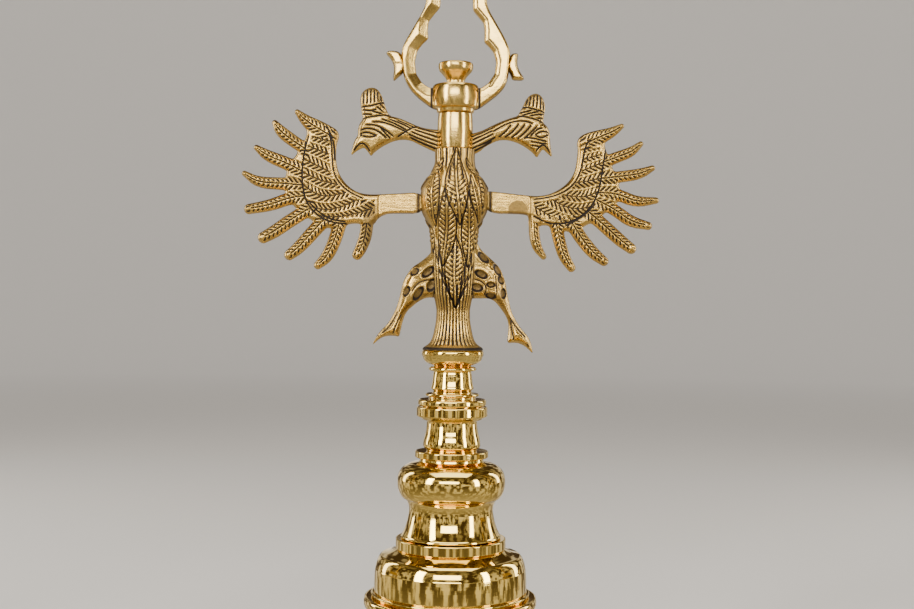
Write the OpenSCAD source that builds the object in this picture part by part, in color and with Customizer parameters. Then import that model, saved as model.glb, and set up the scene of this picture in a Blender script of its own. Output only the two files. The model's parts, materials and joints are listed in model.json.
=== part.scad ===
// Brass weighing scale: a turned column carries a cast two-headed eagle, a lyre fork
// swivels on its neck post, and a beam on a pin in the fork's head holds two hanging pans.
// Millimetres, +Z up, front towards -Y, origin at the centre of the foot's underside.

/* [Foot and column] */
// Radius of the foot's rim
foot_r = 80; // [70:1:100]
// Height of the hollow bell-shaped foot
foot_h = 54.6; // [45:0.1:70]
// Wall of the hollow foot
foot_wall = 3; // [2:0.5:5]
// Radius of the wide ring on the foot
ring_r = 41.3; // [36:0.1:50]
// Height of the wide ring and its lip
ring_h = 7.2; // [5:0.1:10]
// Radius of the dome at its widest
dome_r = 36.5; // [30:0.1:40]
// Height of the dome
dome_h = 20.4; // [16:0.1:26]
// Radius of the disc that caps the dome
dome_disc_r = 26.4; // [22:0.1:30]
// Thickness of the disc that caps the dome
dome_disc_h = 5; // [3:0.1:8]
// Radius of the bulb at its widest
bulb_r = 25.9; // [20:0.1:30]
// Radius of the bulb's waist
waist_r = 20.2; // [14:0.1:24]
// Height of the waisted bulb
bulb_h = 38.4; // [30:0.1:48]
// Radius of the disc on the bulb
bulb_disc_r = 17.6; // [14:0.1:22]
// Thickness of the disc on the bulb
bulb_disc_h = 3.2; // [2:0.1:5]
// Radius of the lower spool at its waist
spool_r = 12; // [8:0.1:14]
// Height of the lower spool
lower_spool_h = 16.2; // [12:0.1:22]
// Radius of the two joint discs
joint_disc_r = 17; // [14:0.1:22]
// Thickness of the lower joint disc
lower_disc_h = 4.9; // [3:0.1:7]
// Thickness of the upper joint disc with its neck
upper_disc_h = 5; // [4:0.1:8]
// Height of the thin lower flange with its neck
low_flange_h = 2.1; // [1.5:0.1:4]
// Radius of the thin lower flange
low_flange_r = 13; // [11:0.1:15]
// Height of the upper spool
upper_spool_h = 10.1; // [8:0.1:14]
// Height of the thin upper flange
high_flange_h = 2.6; // [2:0.1:4]
// Radius of the thin upper flange
high_flange_r = 11.5; // [10.5:0.1:14]
// Radius of the cup under the tail
cup_r = 14.9; // [13:0.1:18]
// Height of the cup under the tail
cup_h = 7.3; // [6:0.1:10]

/* [Tie rod] */
// Radius of the rod that clamps the column
rod_r = 3; // [2.5:0.1:4]
// Radial clearance of the rod in the column
rod_gap = 0.15; // [0.1:0.05:0.4]
// Depth of the rod in the eagle's tail
rod_grip = 10; // [8:0.5:16]
// Radius of the washer under the foot's top
washer_r = 12; // [9:0.5:16]
// Thickness of the washer
washer_t = 2; // [1:0.5:4]
// Width of the hexagonal nut over its corners
nut_w = 13; // [10:0.5:18]
// Thickness of the nut
nut_t = 6; // [4:0.5:9]

/* [Eagle] */
// Height of the torso from tail to neck
torso_h = 96; // [90:1:110]
// Radius of the torso at the shoulders
torso_r = 16.4; // [15:0.1:18]
// Thickness of the wings
wing_t = 6; // [4:0.5:8]
// Reach of the wings from the axis
wing_reach = 101; // [90:1:115]
// Thickness of the heads and necks
head_t = 6.5; // [5:0.5:9]
// Distance of the heads from the axis
head_reach = 40; // [37:0.5:45]
// Depth of the wings' tenons in the torso
tenon = 5; // [3:0.5:7]
// Clearance around a fixed joint
seat_gap = 0.05; // [0.03:0.01:0.15]
// Thickness of the legs
leg_t = 9; // [7:0.5:11]
// Reach of the toes from the axis
toe_reach = 37; // [33:0.5:42]

/* [Neck swivel] */
// Radius of the neck post
post_r = 4; // [3.5:0.1:4.5]
// Depth of the post in the torso
post_grip = 12; // [8:0.5:16]
// Radius of the ferrule on the neck
ferrule_r = 8.1; // [7.5:0.1:9]
// Height of the ferrule
ferrule_h = 17.4; // [15:0.1:20]
// Radial running clearance of the swivel and of the pins
run_gap = 0.05; // [0.03:0.01:0.09]
// Axial play of the swivel at each end
end_play = 0.1; // [0.05:0.05:0.3]
// Radius of the barrel collar
collar_r = 11.4; // [11:0.1:13]
// Height of the barrel collar
collar_h = 13.5; // [12:0.1:16]
// Radius of the knob's rim
knob_r = 8.3; // [7:0.1:10]
// Height of the knob
knob_h = 10.6; // [9:0.1:13]

/* [Lyre and head] */
// Thickness of the lyre's arms
arm_t = 7; // [5:0.5:8]
// Width of the lyre's arms
arm_w = 6.6; // [5:0.1:8]
// Distance from the axis to the upright arms' centre
arm_x = 11; // [10.5:0.1:13]
// Width of the lyre's belly at its widest, arm centre to axis
belly_x = 21; // [19:0.1:24]
// Height of the lyre's arms above the collar's base
lyre_h = 75.5; // [70:0.5:90]
// Half width of the yoke block
yoke_x = 17; // [16:0.5:20]
// Height of the yoke block
yoke_h = 12; // [9:0.5:16]
// Distance between the two cheeks
cheek_slot = 8; // [8:0.5:12]
// Thickness of each cheek
cheek_t = 4; // [3:0.5:6]
// Height of the beam's pivot above the yoke block
pivot_rise = 20; // [19:0.5:26]
// Height of the cheeks above the pivot
cheek_rise = 14; // [13:0.5:18]
// Half width of the cheeks
cheek_x = 14; // [12:0.5:16]
// Radius of the cheek screws
screw_r = 1.5; // [1:0.1:2]
// Height of the bridge over the cheeks
bridge_h = 5; // [3:0.5:8]
// Height of the finial on the bridge
finial_h = 27; // [20:0.5:40]

/* [Beam] */
// Distance from the beam's pivot to each end pin
beam_l = 280; // [250:1:340]
// Thickness of the beam
beam_t = 6; // [4:0.5:7]
// Height of the beam at its middle
beam_mid_h = 20; // [14:0.5:22]
// Height of the beam at its ends
beam_end_h = 9; // [7:0.5:12]
// Depth of the end pins below the pivot
pin_drop = 3; // [1:0.5:5]
// Radius of the centre pin
centre_pin_r = 2; // [1.6:0.1:2.6]
// Wall of the bushes around the centre pin
bush_wall = 1.5; // [1:0.1:2.5]
// Radius of the end pins
end_pin_r = 1.5; // [1.2:0.1:2]
// Length of the pointer from the pivot to its tip
pointer_l = 48; // [40:1:52]
// Width of the pointer at its root
pointer_w = 3; // [2:0.1:4]

/* [Pans] */
// Radius of each pan
pan_r = 48; // [40:1:60]
// Depth of each pan
pan_depth = 14; // [10:0.5:20]
// Wall of each pan
pan_wall = 1.6; // [1.2:0.1:2.5]
// Height of each pan's rim above the surface
pan_z = 110; // [90:1:130]
// Radius of the wire in the chains
wire_r = 0.75; // [0.6:0.05:1]
// Radius of a chain's round links, at the wire's centre
chain_link_r = 3.8; // [3.4:0.1:5]
// Least gap left between linked wires
link_gap = 0.25; // [0.2:0.05:0.4]
// Number of chains on each pan
chain_n = 3; // [3:1:4]
// Radius of the wire in the stirrup's eye
eye_wire_r = 1.2; // [1:0.1:1.6]
// Radius of the stirrup's and hub's eyes
eye_r = 4; // [3.6:0.1:6]
// Radius of the joining ring
link_r = 6; // [5.4:0.1:9]
// Radius of the wire in the joining ring
link_wire_r = 1; // [0.8:0.1:1.3]
// Length of the stirrup's cheeks
stirrup_l = 22; // [18:0.5:30]
// Thickness of the stirrup's cheeks
stirrup_t = 2; // [1.5:0.1:3]
// Gap between the beam's end and the stirrup
stirrup_gap = 0.8; // [0.5:0.1:2]
// Radius of the hub over each pan
hub_r = 9; // [8:0.1:12]

/* [Hidden] */
$fn = 72;
brass = "#c8a24a";
old_brass = "#a98543";
dark_brass = "#7d5f2c";
steel = "#b9bcc0";

// Heights of the column's seams, each from the piece under it.
z_ring = foot_h;
z_dome = z_ring + ring_h;
z_dome_disc = z_dome + dome_h;
z_bulb = z_dome_disc + dome_disc_h;
z_bulb_disc = z_bulb + bulb_h;
z_low_spool = z_bulb_disc + bulb_disc_h;
z_low_disc = z_low_spool + lower_spool_h;
z_high_disc = z_low_disc + lower_disc_h;
z_low_flange = z_high_disc + upper_disc_h;
z_high_spool = z_low_flange + low_flange_h;
z_high_flange = z_high_spool + upper_spool_h;
z_cup = z_high_flange + high_flange_h;
z_tail = z_cup + cup_h;
z_neck = z_tail + torso_h;
z_collar = z_neck + ferrule_h + end_play;
z_knob = z_collar + collar_h + end_play;
z_yoke = z_collar + lyre_h;
z_cheek_foot = z_yoke + yoke_h;
z_pivot = z_cheek_foot + pivot_rise;
z_bridge = z_pivot + cheek_rise;
z_finial = z_bridge + bridge_h;
z_end_pin = z_pivot - pin_drop;

rod_bore = rod_r + rod_gap;
post_bore = post_r + run_gap;
post_seat = post_r + seat_gap;
knob_bore_h = knob_h / 2;
bush_r = centre_pin_r + bush_wall;
pin_l = cheek_slot + 2 * cheek_t + 2;
stirrup_y = beam_t / 2 + stirrup_gap;
end_pin_l = 2 * (stirrup_y + stirrup_t) + 2;
wing_k = wing_reach / 101;
toe_k = toe_reach / 37;
z_wing = z_tail + 69.5;
bar_h = 9.6;
bar_l = 24;

// The hanging gear's heights: eye under the stirrup, joining ring, hub.
hook_gap = eye_wire_r + link_wire_r + link_gap;
z_swing = z_end_pin - stirrup_l - 2 * eye_r + hook_gap;
z_ring_foot = z_swing - 2 * link_r;
z_pan_swing = z_ring_foot + hook_gap;
z_hub = z_pan_swing - 2 * eye_r;
hub_h = 8;
hub_disc_t = 2.6;
small_eye_r = 2.4;
small_eye_wire = 0.8;
z_hub_eye = z_hub - hub_h - small_eye_r + hub_disc_t / 2;
hub_eye_x = hub_r - small_eye_r - small_eye_wire - 0.2;
rim_eye_z = pan_z + small_eye_r + 0.6;
rim_eye_x = pan_r - 1.5;

// Chain geometry: a straight run from the hub's eye to the rim's eye.
run_x = rim_eye_x - hub_eye_x;
run_z = z_hub_eye - rim_eye_z - 2 * small_eye_r;
run_tilt = atan2(run_x, run_z);
lead = wire_r + small_eye_wire + link_gap;
link_step = 2 * wire_r + link_gap;
centre_run = sqrt(run_x * run_x + run_z * run_z) + 2 * lead - 2 * chain_link_r;
longest_pitch = 2 * chain_link_r - link_step;
link_n = 2 * ceil(centre_run / longest_pitch / 2) + 1;
pitch = centre_run / (link_n - 1);

// A quadratic curve from a to c, pulled towards b, without its first point.
function bend(a, b, c, n = 8) = [for (i = [1:n]) let (t = i / n)
    (1 - t) * (1 - t) * a + 2 * t * (1 - t) * b + t * t * c];

// Revolves a list of [radius, height] points, starting and ending on the bore.
module turned(points, z) {
    translate([0, 0, z]) rotate_extrude() polygon(points);
}

// A torus standing in the XZ plane.
module eye(r, wire) {
    rotate([90, 0, 0]) rotate_extrude($fn = 40) translate([r, 0]) circle(wire, $fn = 24);
}

// A stroke of round strokes through [x, z, radius] points, drawn in the XZ plane.
module stroke(points) {
    for (i = [0:len(points) - 2]) hull() {
        for (p = [points[i], points[i + 1]]) translate([p[0], p[1]]) circle(p[2], $fn = 24);
    }
}

// A plate of thickness t, centred on Y = 0, from a shape drawn in the XZ plane.
module plate(t) {
    rotate([90, 0, 0]) translate([0, 0, -t / 2]) linear_extrude(t) children();
}

// A round hole along Y at x, z.
module cross_bore(x, z, r, l) {
    translate([x, 0, z]) rotate([90, 0, 0]) cylinder(r = r, h = l, center = true);
}

module foot_skirt() {
    top_r = ring_r - 3;
    rim_h = 8;
    outer = concat([[foot_r, 0], [foot_r, rim_h - 2]],
        bend([foot_r, rim_h - 2], [foot_r, rim_h], [foot_r - 2, rim_h], 4),
        bend([foot_r - 6, rim_h], [top_r + 4, rim_h + 8], [top_r, foot_h], 12));
    inner = concat([[top_r - foot_wall, foot_h - foot_wall]],
        bend([top_r - foot_wall, foot_h - foot_wall],
            [top_r + 4 - foot_wall, rim_h + 8 - foot_wall],
            [foot_r - 6 - foot_wall, rim_h - foot_wall], 12),
        [[foot_r - foot_wall, rim_h - foot_wall], [foot_r - foot_wall, 0]]);
    color(brass) turned(concat([[rod_bore, foot_h]], [[rod_bore, foot_h - foot_wall]],
        inner, outer), 0);
}

module skirt_ring() {
    lip_r = ring_r - 3.4;
    ledge = ring_h * 0.68;
    color(brass) turned(concat([[rod_bore, 0], [ring_r - 1, 0]],
        bend([ring_r - 1, 0], [ring_r + 0.4, ledge / 2], [ring_r - 0.6, ledge], 6),
        [[lip_r - 1.4, ledge + 0.6], [lip_r, ledge + 0.9], [lip_r, ring_h - 0.5],
            [lip_r - 0.5, ring_h], [rod_bore, ring_h]]), z_ring);
}

module base_dome() {
    shoulder = dome_h - 3;
    color(brass) turned(concat([[rod_bore, 0], [dome_r, 0], [dome_r, 9]],
        bend([dome_r, 9], [dome_r, shoulder], [dome_r - 2.6, shoulder], 6),
        bend([dome_r - 2.6, shoulder], [dome_disc_r + 2, shoulder + 0.4],
            [dome_disc_r - 0.6, dome_h], 8),
        [[rod_bore, dome_h]]), z_dome);
}

module dome_cap_disc() {
    h = dome_disc_h;
    color(brass) turned([[rod_bore, 0], [dome_disc_r - 0.6, 0], [dome_disc_r, 0.6],
        [dome_disc_r, h - 0.6], [dome_disc_r - 0.6, h], [rod_bore, h]], z_dome_disc);
}

module baluster_bulb() {
    bell_r = waist_r + 3.8;
    waist = 14;
    color(brass) turned(concat([[rod_bore, 0], [bell_r - 1, 0], [bell_r, 0.8]],
        bend([bell_r, 0.8], [waist_r, waist * 0.55], [waist_r, waist], 8),
        [[waist_r + 0.8, waist + 3.4], [waist_r + 2, waist + 4.8]],
        bend([waist_r + 3.6, waist + 6.4], [bulb_r + 0.4, waist + 9], [bulb_r, waist + 14], 8),
        bend([bulb_r, waist + 14], [bulb_r, waist + 19.6], [bulb_disc_r, bulb_h - 1.4], 10),
        [[bulb_disc_r - 2, bulb_h], [rod_bore, bulb_h]]), z_bulb);
}

module bulb_cap_disc() {
    h = bulb_disc_h;
    color(brass) turned([[rod_bore, 0], [bulb_disc_r - 0.5, 0], [bulb_disc_r, 0.5],
        [bulb_disc_r, h - 0.5], [bulb_disc_r - 0.5, h], [rod_bore, h]], z_bulb_disc);
}

module lower_spool() {
    h = lower_spool_h;
    color(brass) turned(concat([[rod_bore, 0], [spool_r, 0], [spool_r + 0.2, 0.6]],
        bend([spool_r + 1.4, 1.4], [spool_r + 2, 2.6], [spool_r + 1.5, 4.4], 4),
        bend([spool_r + 1.5, 4.4], [spool_r, 8], [spool_r, h - 1.6], 6),
        [[spool_r + 2.4, h - 1.1], [joint_disc_r - 1, h], [rod_bore, h]]), z_low_spool);
}

module lower_joint_disc() {
    h = lower_disc_h;
    color(brass) turned([[rod_bore, 0], [joint_disc_r - 0.6, 0], [joint_disc_r, 0.6],
        [joint_disc_r, h - 0.5], [joint_disc_r - 0.5, h], [rod_bore, h]], z_low_disc);
}

module upper_joint_disc() {
    h = upper_disc_h;
    r = joint_disc_r - 0.6;
    color(brass) turned([[rod_bore, 0], [r - 2, 0], [r - 2, 0.4], [r, 0.6], [r, h - 2],
        [r - 0.5, h - 1.6], [spool_r - 1, h - 1.2], [spool_r - 1, h], [rod_bore, h]],
        z_high_disc);
}

module lower_flange() {
    h = low_flange_h;
    r = low_flange_r;
    color(brass) turned([[rod_bore, 0], [r - 0.3, 0], [r, 0.3], [r, h - 1],
        [r - 0.3, h - 0.7], [9.6, h - 0.7], [9.6, h], [rod_bore, h]], z_low_flange);
}

module upper_spool() {
    h = upper_spool_h;
    r = high_flange_r - 2.1;
    color(brass) turned(concat([[rod_bore, 0], [r, 0], [r + 1, 1]],
        bend([r + 1, 1], [r + 0.2, 3], [r, 6], 6),
        [[r, h - 1.6], [r - 0.5, h], [rod_bore, h]]), z_high_spool);
}

module upper_flange() {
    h = high_flange_h;
    r = high_flange_r;
    color(brass) turned([[rod_bore, 0], [r - 0.3, 0], [r, 0.3], [r, h - 1.1],
        [r - 0.3, h - 0.8], [r - 2.4, h - 0.8], [r - 2.4, h], [rod_bore, h]], z_high_flange);
}

module tail_cup() {
    h = cup_h;
    color(brass) turned(concat([[rod_bore, 0], [9, 0]],
        bend([9, 0], [cup_r, 0.4], [cup_r - 0.6, h - 3.6], 6),
        bend([cup_r - 0.6, h - 3.6], [cup_r + 0.4, h - 1.6], [cup_r - 0.5, h], 5),
        [[rod_bore, h]]), z_cup);
}

module tie_rod() {
    foot = foot_h - foot_wall - washer_t - nut_t - 3;
    color(steel) translate([0, 0, foot]) cylinder(r = rod_r, h = z_tail + rod_grip - foot);
}

module rod_washer() {
    color(dark_brass) translate([0, 0, foot_h - foot_wall - washer_t]) difference() {
        cylinder(r = washer_r, h = washer_t);
        translate([0, 0, -1]) cylinder(r = rod_bore, h = washer_t + 2);
    }
}

module rod_nut() {
    color(steel) translate([0, 0, foot_h - foot_wall - washer_t - nut_t]) difference() {
        cylinder(r = nut_w / 2, h = nut_t, $fn = 6);
        translate([0, 0, -1]) cylinder(r = rod_r + seat_gap, h = nut_t + 2);
    }
}

// The torso's outer form, swollen by grow, from the tail to the neck.
module torso_form(grow = 0) {
    r = torso_r + grow;
    rotate_extrude() polygon(concat([[0, 0], [14.4 + grow, 0]],
        bend([14.4 + grow, 1], [10.6 + grow, 3.4], [8.8 + grow, 10], 6),
        bend([8.8 + grow, 10], [7.2 + grow, 18], [8.9 + grow, 24], 6),
        bend([8.9 + grow, 24], [10 + grow, 34], [10.6 + grow, 48], 6),
        bend([10.6 + grow, 48], [10.8 + grow, 58], [r - 2.2, 63.5], 6),
        bend([r - 2.2, 63.5], [r + 2.4, 74], [r - 3.4, 83], 8),
        bend([r - 3.4, 83], [10 + grow, 86], [9.9 + grow, torso_h - 6], 5),
        [[9.9 + grow, torso_h], [0, torso_h]]));
}

module eagle_torso() {
    color(old_brass) translate([0, 0, z_tail]) difference() {
        torso_form();
        translate([0, 0, -1]) cylinder(r = rod_bore, h = rod_grip + 2);
        translate([0, 0, torso_h - post_grip - 1]) cylinder(r = post_seat, h = post_grip + 2);
        for (s = [-1, 1]) translate([s * (torso_r - tenon / 2 + 1), 0, z_wing - z_tail])
            cube([tenon + 2 + 2 * seat_gap, wing_t + 2 * seat_gap, bar_h + 2 * seat_gap],
                center = true);
    }
}

// One wing, drawn for +X: a bar with a tenon, an arched palm and nine feathers.
module wing(feathers) {
    tenon_x = torso_r - tenon;
    color(old_brass) translate([0, 0, z_tail]) plate(wing_t) {
        translate([tenon_x, 69.5 - bar_h / 2]) square([bar_l + tenon, bar_h]);
        stroke([[37, 69.5, 4.6], [47 * wing_k, 69, 6], [56 * wing_k, 74, 7],
            [63 * wing_k, 84, 6.5], [66 * wing_k, 98, 6.5], [70 * wing_k, 105, 3]]);
        stroke([[60 * wing_k, 68, 9], [65 * wing_k, 78, 9], [66 * wing_k, 90, 7]]);
        for (f = feathers) stroke([[f[0] * wing_k, f[1], 4], [f[2] * wing_k, f[3], 3.6],
            [f[4] * wing_k, f[5], 2.2]]);
    }
}

// Feather lists: root x and z, middle x and z, end x and z, z from the tail's foot.
left_feathers = [[62, 101, 69, 108, 75.5, 113], [72, 95, 81, 102, 86, 107.5],
    [72, 85, 84, 89, 94.2, 95.8], [73, 78, 87, 78.5, 99.6, 83.5],
    [72, 73, 84, 70, 98.6, 66], [68, 67.5, 80, 60, 91.8, 52.4],
    [62, 59, 70, 50, 79.5, 44.6], [55, 58, 58.5, 47, 65.8, 40.6],
    [42, 62, 43.5, 53, 47.4, 45.4]];
right_feathers = [[65, 99, 74, 104, 78.9, 107.8], [71, 90, 81, 94, 88.3, 99.4],
    [71, 83, 84, 84.5, 93.8, 88], [71, 76, 84, 75, 96, 74.2],
    [70, 72, 82, 65.5, 92.6, 61], [66, 66, 75, 57, 86, 49.6],
    [58, 60, 64, 51, 72.8, 43.2], [52, 61, 52.4, 50, 57, 40.4],
    [38, 63, 38.5, 54, 42.8, 45.6]];

module left_wing() {
    mirror([1, 0, 0]) wing(left_feathers);
}

module right_wing() {
    wing(right_feathers);
}

// One head and neck, drawn for +X: neck, skull, open beak and striped crest.
module head(lift) {
    x = head_reach;
    color(old_brass) translate([0, 0, z_tail]) difference() {
        plate(head_t) {
            stroke([[9, 99.6, 4.8], [20, 103, 4.6], [28, 105.5, 5.6], [x - 2, 105 + lift, 6.6]]);
            stroke([[x - 2, 105 + lift, 6.6], [x - 1.4, 116 + lift, 6.4],
                [x - 1.6, 119 + lift, 5.2]]);
            stroke([[x + 2.4, 103 + lift, 4], [x + 4.6, 98, 2.4], [x + 6.6, 94.2, 1.2]]);
            stroke([[x - 6, 102, 3], [x - 2.6, 97, 2], [x - 1, 93.8, 1]]);
        }
        cylinder(r = ferrule_r + seat_gap, h = 2 * torso_h);
        torso_form(seat_gap);
    }
}

module left_head() {
    mirror([1, 0, 0]) head(0.6);
}

module right_head() {
    head(0);
}

// One leg, drawn for +X: thigh, shank and foot as round lumps in a row.
module leg(toe_z) {
    t = leg_t / 2;
    lumps = [[8, 38, t + 3], [14, 36, t + 3], [20, 30, t + 1.4], [23, 22, t],
        [25 * toe_k, 15, t - 0.8], [29 * toe_k, 9, t - 0.6], [toe_reach - 2, toe_z, 1.6]];
    color(old_brass) translate([0, 0, z_tail]) difference() {
        for (i = [0:len(lumps) - 2]) hull() {
            for (p = [lumps[i], lumps[i + 1]])
                translate([p[0], 0, p[1]]) scale([1, 0.8, 1]) sphere(p[2], $fn = 20);
        }
        torso_form(seat_gap);
    }
}

module left_leg() {
    mirror([1, 0, 0]) leg(4.4);
}

module right_leg() {
    leg(3);
}

module neck_post() {
    color(steel) translate([0, 0, z_neck - post_grip])
        cylinder(r = post_r, h = z_knob + knob_bore_h - z_neck + post_grip - end_play);
}

module neck_ferrule() {
    r = ferrule_r;
    h = ferrule_h;
    color(brass) turned([[post_seat, 0], [r - 0.4, 0], [r, 3], [r, h - 3],
        [r - 0.4, h], [post_seat, h]], z_neck);
}

module finial_knob() {
    rim = 2.2;
    color(brass) turned(concat([[post_seat, 0], [4.8, 0]],
        bend([4.8, 0], [4.8, knob_h * 0.5], [knob_r - 0.8, knob_h - rim], 6),
        [[knob_r, knob_h - rim + 0.4], [knob_r, knob_h - 0.4], [knob_r - 0.4, knob_h],
            [0, knob_h], [0, knob_bore_h], [post_seat, knob_bore_h]]), z_knob);
}

module lyre_collar() {
    lip = 2;
    color(old_brass) turned(concat([[post_bore, 0], [8.4, 0], [8.8, 0.5], [9.6, lip]],
        bend([10.2, lip], [collar_r + 1, (collar_h + lip) / 2], [10.2, collar_h], 10),
        [[post_bore, collar_h]]), z_collar);
}

// One arm of the lyre, drawn for +X, from the collar up to the yoke block.
module lyre_arm() {
    w = arm_w / 2;
    color(old_brass) translate([0, 0, z_collar]) difference() {
        plate(arm_t) {
            stroke([[9, 5.6, w + 1.4], [15, 8.4, w + 1.6], [19.6, 13, w + 1],
                [belly_x, 19, w + 0.6], [22, 26, w + 0.3], [20.4, 32, w + 0.1],
                [17, 37, w + 0.4], [17, 42, w], [12.4, 48, w], [arm_x, 54, w]]);
            translate([arm_x - w, 53]) square([arm_w, lyre_h - 53]);
        }
        cylinder(r = collar_r + seat_gap, h = 4 * collar_h, center = true);
    }
}

module lyre_left_arm() {
    mirror([1, 0, 0]) lyre_arm();
}

module lyre_right_arm() {
    lyre_arm();
}

// One crescent outside the lyre's belly, drawn for +X, cut to sit against the arm.
module crescent() {
    color(old_brass) translate([0, 0, z_collar]) difference() {
        plate(arm_t - 2) {
            stroke([[31.4, 28.2, 1.3], [28.4, 26.4, 2], [27.6, 21, 2.4],
                [28.8, 17.4, 2], [31, 15.6, 1.2]]);
        }
        plate(arm_t) stroke([[19.6, 13, arm_w / 2 + 1.05], [belly_x, 19, arm_w / 2 + 0.65],
            [22, 26, arm_w / 2 + 0.35], [20.4, 32, arm_w / 2 + 0.15]]);
    }
}

module left_crescent() {
    mirror([1, 0, 0]) crescent();
}

module right_crescent() {
    crescent();
}

module yoke_block() {
    slot_x = arm_x - arm_w / 2;
    color(brass) translate([0, 0, z_yoke]) difference() {
        translate([-yoke_x, -cheek_slot / 2, 0]) cube([2 * yoke_x, cheek_slot, yoke_h]);
        translate([-slot_x, -2, -1]) cube([2 * slot_x, 4, yoke_h + 2]);
        for (s = [-1, 1]) cross_bore(s * (cheek_x - 2.5), yoke_h / 2, screw_r + seat_gap,
            cheek_slot + 2);
    }
}

// One cheek on the yoke block, its slab starting at y, bored for the bush.
module cheek(y) {
    top = yoke_h + pivot_rise + cheek_rise;
    mid = yoke_h + pivot_rise;
    color(brass) translate([0, 0, z_yoke]) difference() {
        translate([0, y + cheek_t, 0]) rotate([90, 0, 0]) linear_extrude(cheek_t)
            polygon(concat([[-cheek_x, 0], [cheek_x, 0], [cheek_x, yoke_h]],
                bend([cheek_x, yoke_h], [7, yoke_h + 8], [10, mid], 6),
                bend([10, mid], [10, mid + 8], [7, top], 6),
                [[-7, top]],
                bend([-7, top], [-10, mid + 8], [-10, mid], 6),
                bend([-10, mid], [-7, yoke_h + 8], [-cheek_x, yoke_h], 6)));
        cross_bore(0, mid, bush_r + seat_gap, 60);
        for (s = [-1, 1]) cross_bore(s * (cheek_x - 2.5), yoke_h / 2, screw_r + seat_gap, 60);
    }
}

module front_cheek() {
    cheek(-cheek_slot / 2 - cheek_t);
}

module rear_cheek() {
    cheek(cheek_slot / 2);
}

// One flanged bush for the centre pin, on the side s of the beam.
module bush(s) {
    flange = 1.2;
    color(dark_brass) translate([0, s * cheek_slot / 2, z_pivot]) rotate([-90 * s, 0, 0])
        difference() {
            union() {
                cylinder(r = bush_r, h = cheek_t);
                translate([0, 0, cheek_t]) cylinder(r = bush_r + 1.5, h = flange);
            }
            translate([0, 0, -1]) cylinder(r = centre_pin_r + run_gap, h = 3 * cheek_t);
        }
}

module front_bush() {
    bush(-1);
}

module rear_bush() {
    bush(1);
}

module cheek_screws() {
    l = cheek_slot + 2 * cheek_t;
    color(steel) for (s = [-1, 1])
        translate([s * (cheek_x - 2.5), -l / 2 - 1.5, z_yoke + yoke_h / 2]) rotate([-90, 0, 0])
            difference() {
                union() {
                    cylinder(r = screw_r, h = l + 1.5);
                    cylinder(r = screw_r + 1.2, h = 1.5);
                }
                translate([-4, -0.3, -1]) cube([8, 0.6, 1.6]);
            }
}

module cheek_bridge() {
    y = cheek_slot / 2 + cheek_t;
    color(brass) translate([-9, -y, z_bridge]) cube([18, 2 * y, bridge_h]);
}

module head_finial() {
    h = finial_h;
    color(brass) turned(concat([[0, 0], [6.5, 0], [6.5, 2], [3, 3.4]],
        bend([3, 3.4], [2.4, 5.4], [4.4, 7], 4),
        bend([4.4, 7], [9.4, h * 0.45], [3.6, h - 9], 8),
        bend([3.6, h - 9], [1.6, h - 6], [1.6, h - 2], 5),
        bend([1.6, h - 2], [1.2, h], [0, h], 4)), z_finial);
}

// Half height of the beam at distance x from its pivot.
function beam_half(x) = beam_end_h / 2
    + (beam_mid_h - beam_end_h) / 2 * pow(1 - min(1, x / beam_l), 1.6);

module balance_beam() {
    n = 24;
    tip = 8;
    edge = [for (i = [0:n]) let (x = beam_l * i / n) [x, beam_half(x)]];
    color(brass) translate([0, 0, z_pivot]) difference() {
        plate(beam_t) polygon(concat(
            [for (p = edge) [p[0], p[1]]], [[beam_l + tip, 0.6]],
            [[beam_l + tip, -0.6]], [for (i = [n:-1:0]) [edge[i][0], -edge[i][1]]],
            [for (i = [1:n]) [-edge[i][0], -edge[i][1]]], [[-beam_l - tip, -0.6]],
            [[-beam_l - tip, 0.6]], [for (i = [n:-1:1]) [-edge[i][0], edge[i][1]]]));
        cross_bore(0, 0, centre_pin_r + seat_gap, 40);
        for (s = [-1, 1]) cross_bore(s * beam_l, -pin_drop, end_pin_r + seat_gap, 40);
    }
}

module centre_pin() {
    color(steel) cross_bore(0, z_pivot, centre_pin_r, pin_l);
}

module pointer() {
    top = beam_mid_h / 2;
    w = pointer_w / 2;
    color(dark_brass) translate([0, 0, z_pivot]) plate(2)
        polygon([[-w, -top], [-0.5, -pointer_l], [0.5, -pointer_l], [w, -top]]);
}

module left_end_pin() {
    color(steel) cross_bore(-beam_l, z_end_pin, end_pin_r, end_pin_l);
}

module right_end_pin() {
    color(steel) cross_bore(beam_l, z_end_pin, end_pin_r, end_pin_l);
}

// A stirrup at x: two cheeks on the end pin, a foot bar and an eye below it.
module stirrup(x) {
    y = stirrup_y + stirrup_t;
    bar = 4;
    color(brass) translate([x, 0, z_end_pin]) difference() {
        union() {
            for (s = [-1, 1]) translate([0, s * (stirrup_y + stirrup_t / 2), 0]) {
                plate(stirrup_t) circle(4.2);
                translate([-2.6, -stirrup_t / 2, -stirrup_l]) cube([5.2, stirrup_t, stirrup_l]);
            }
            translate([-2.6, -y, -stirrup_l]) cube([5.2, 2 * y, bar]);
            translate([0, 0, -stirrup_l - eye_r]) eye(eye_r, eye_wire_r);
        }
        cross_bore(0, 0, end_pin_r + run_gap, 40);
    }
}

module left_stirrup() {
    stirrup(-beam_l);
}

module right_stirrup() {
    stirrup(beam_l);
}

// A ring in the YZ plane through the stirrup's eye.
module joining_ring(x) {
    color(brass) translate([x, 0, z_swing - link_r]) rotate([0, 0, 90])
        eye(link_r, link_wire_r);
}

module left_joining_ring() {
    joining_ring(-beam_l);
}

module right_joining_ring() {
    joining_ring(beam_l);
}

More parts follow.
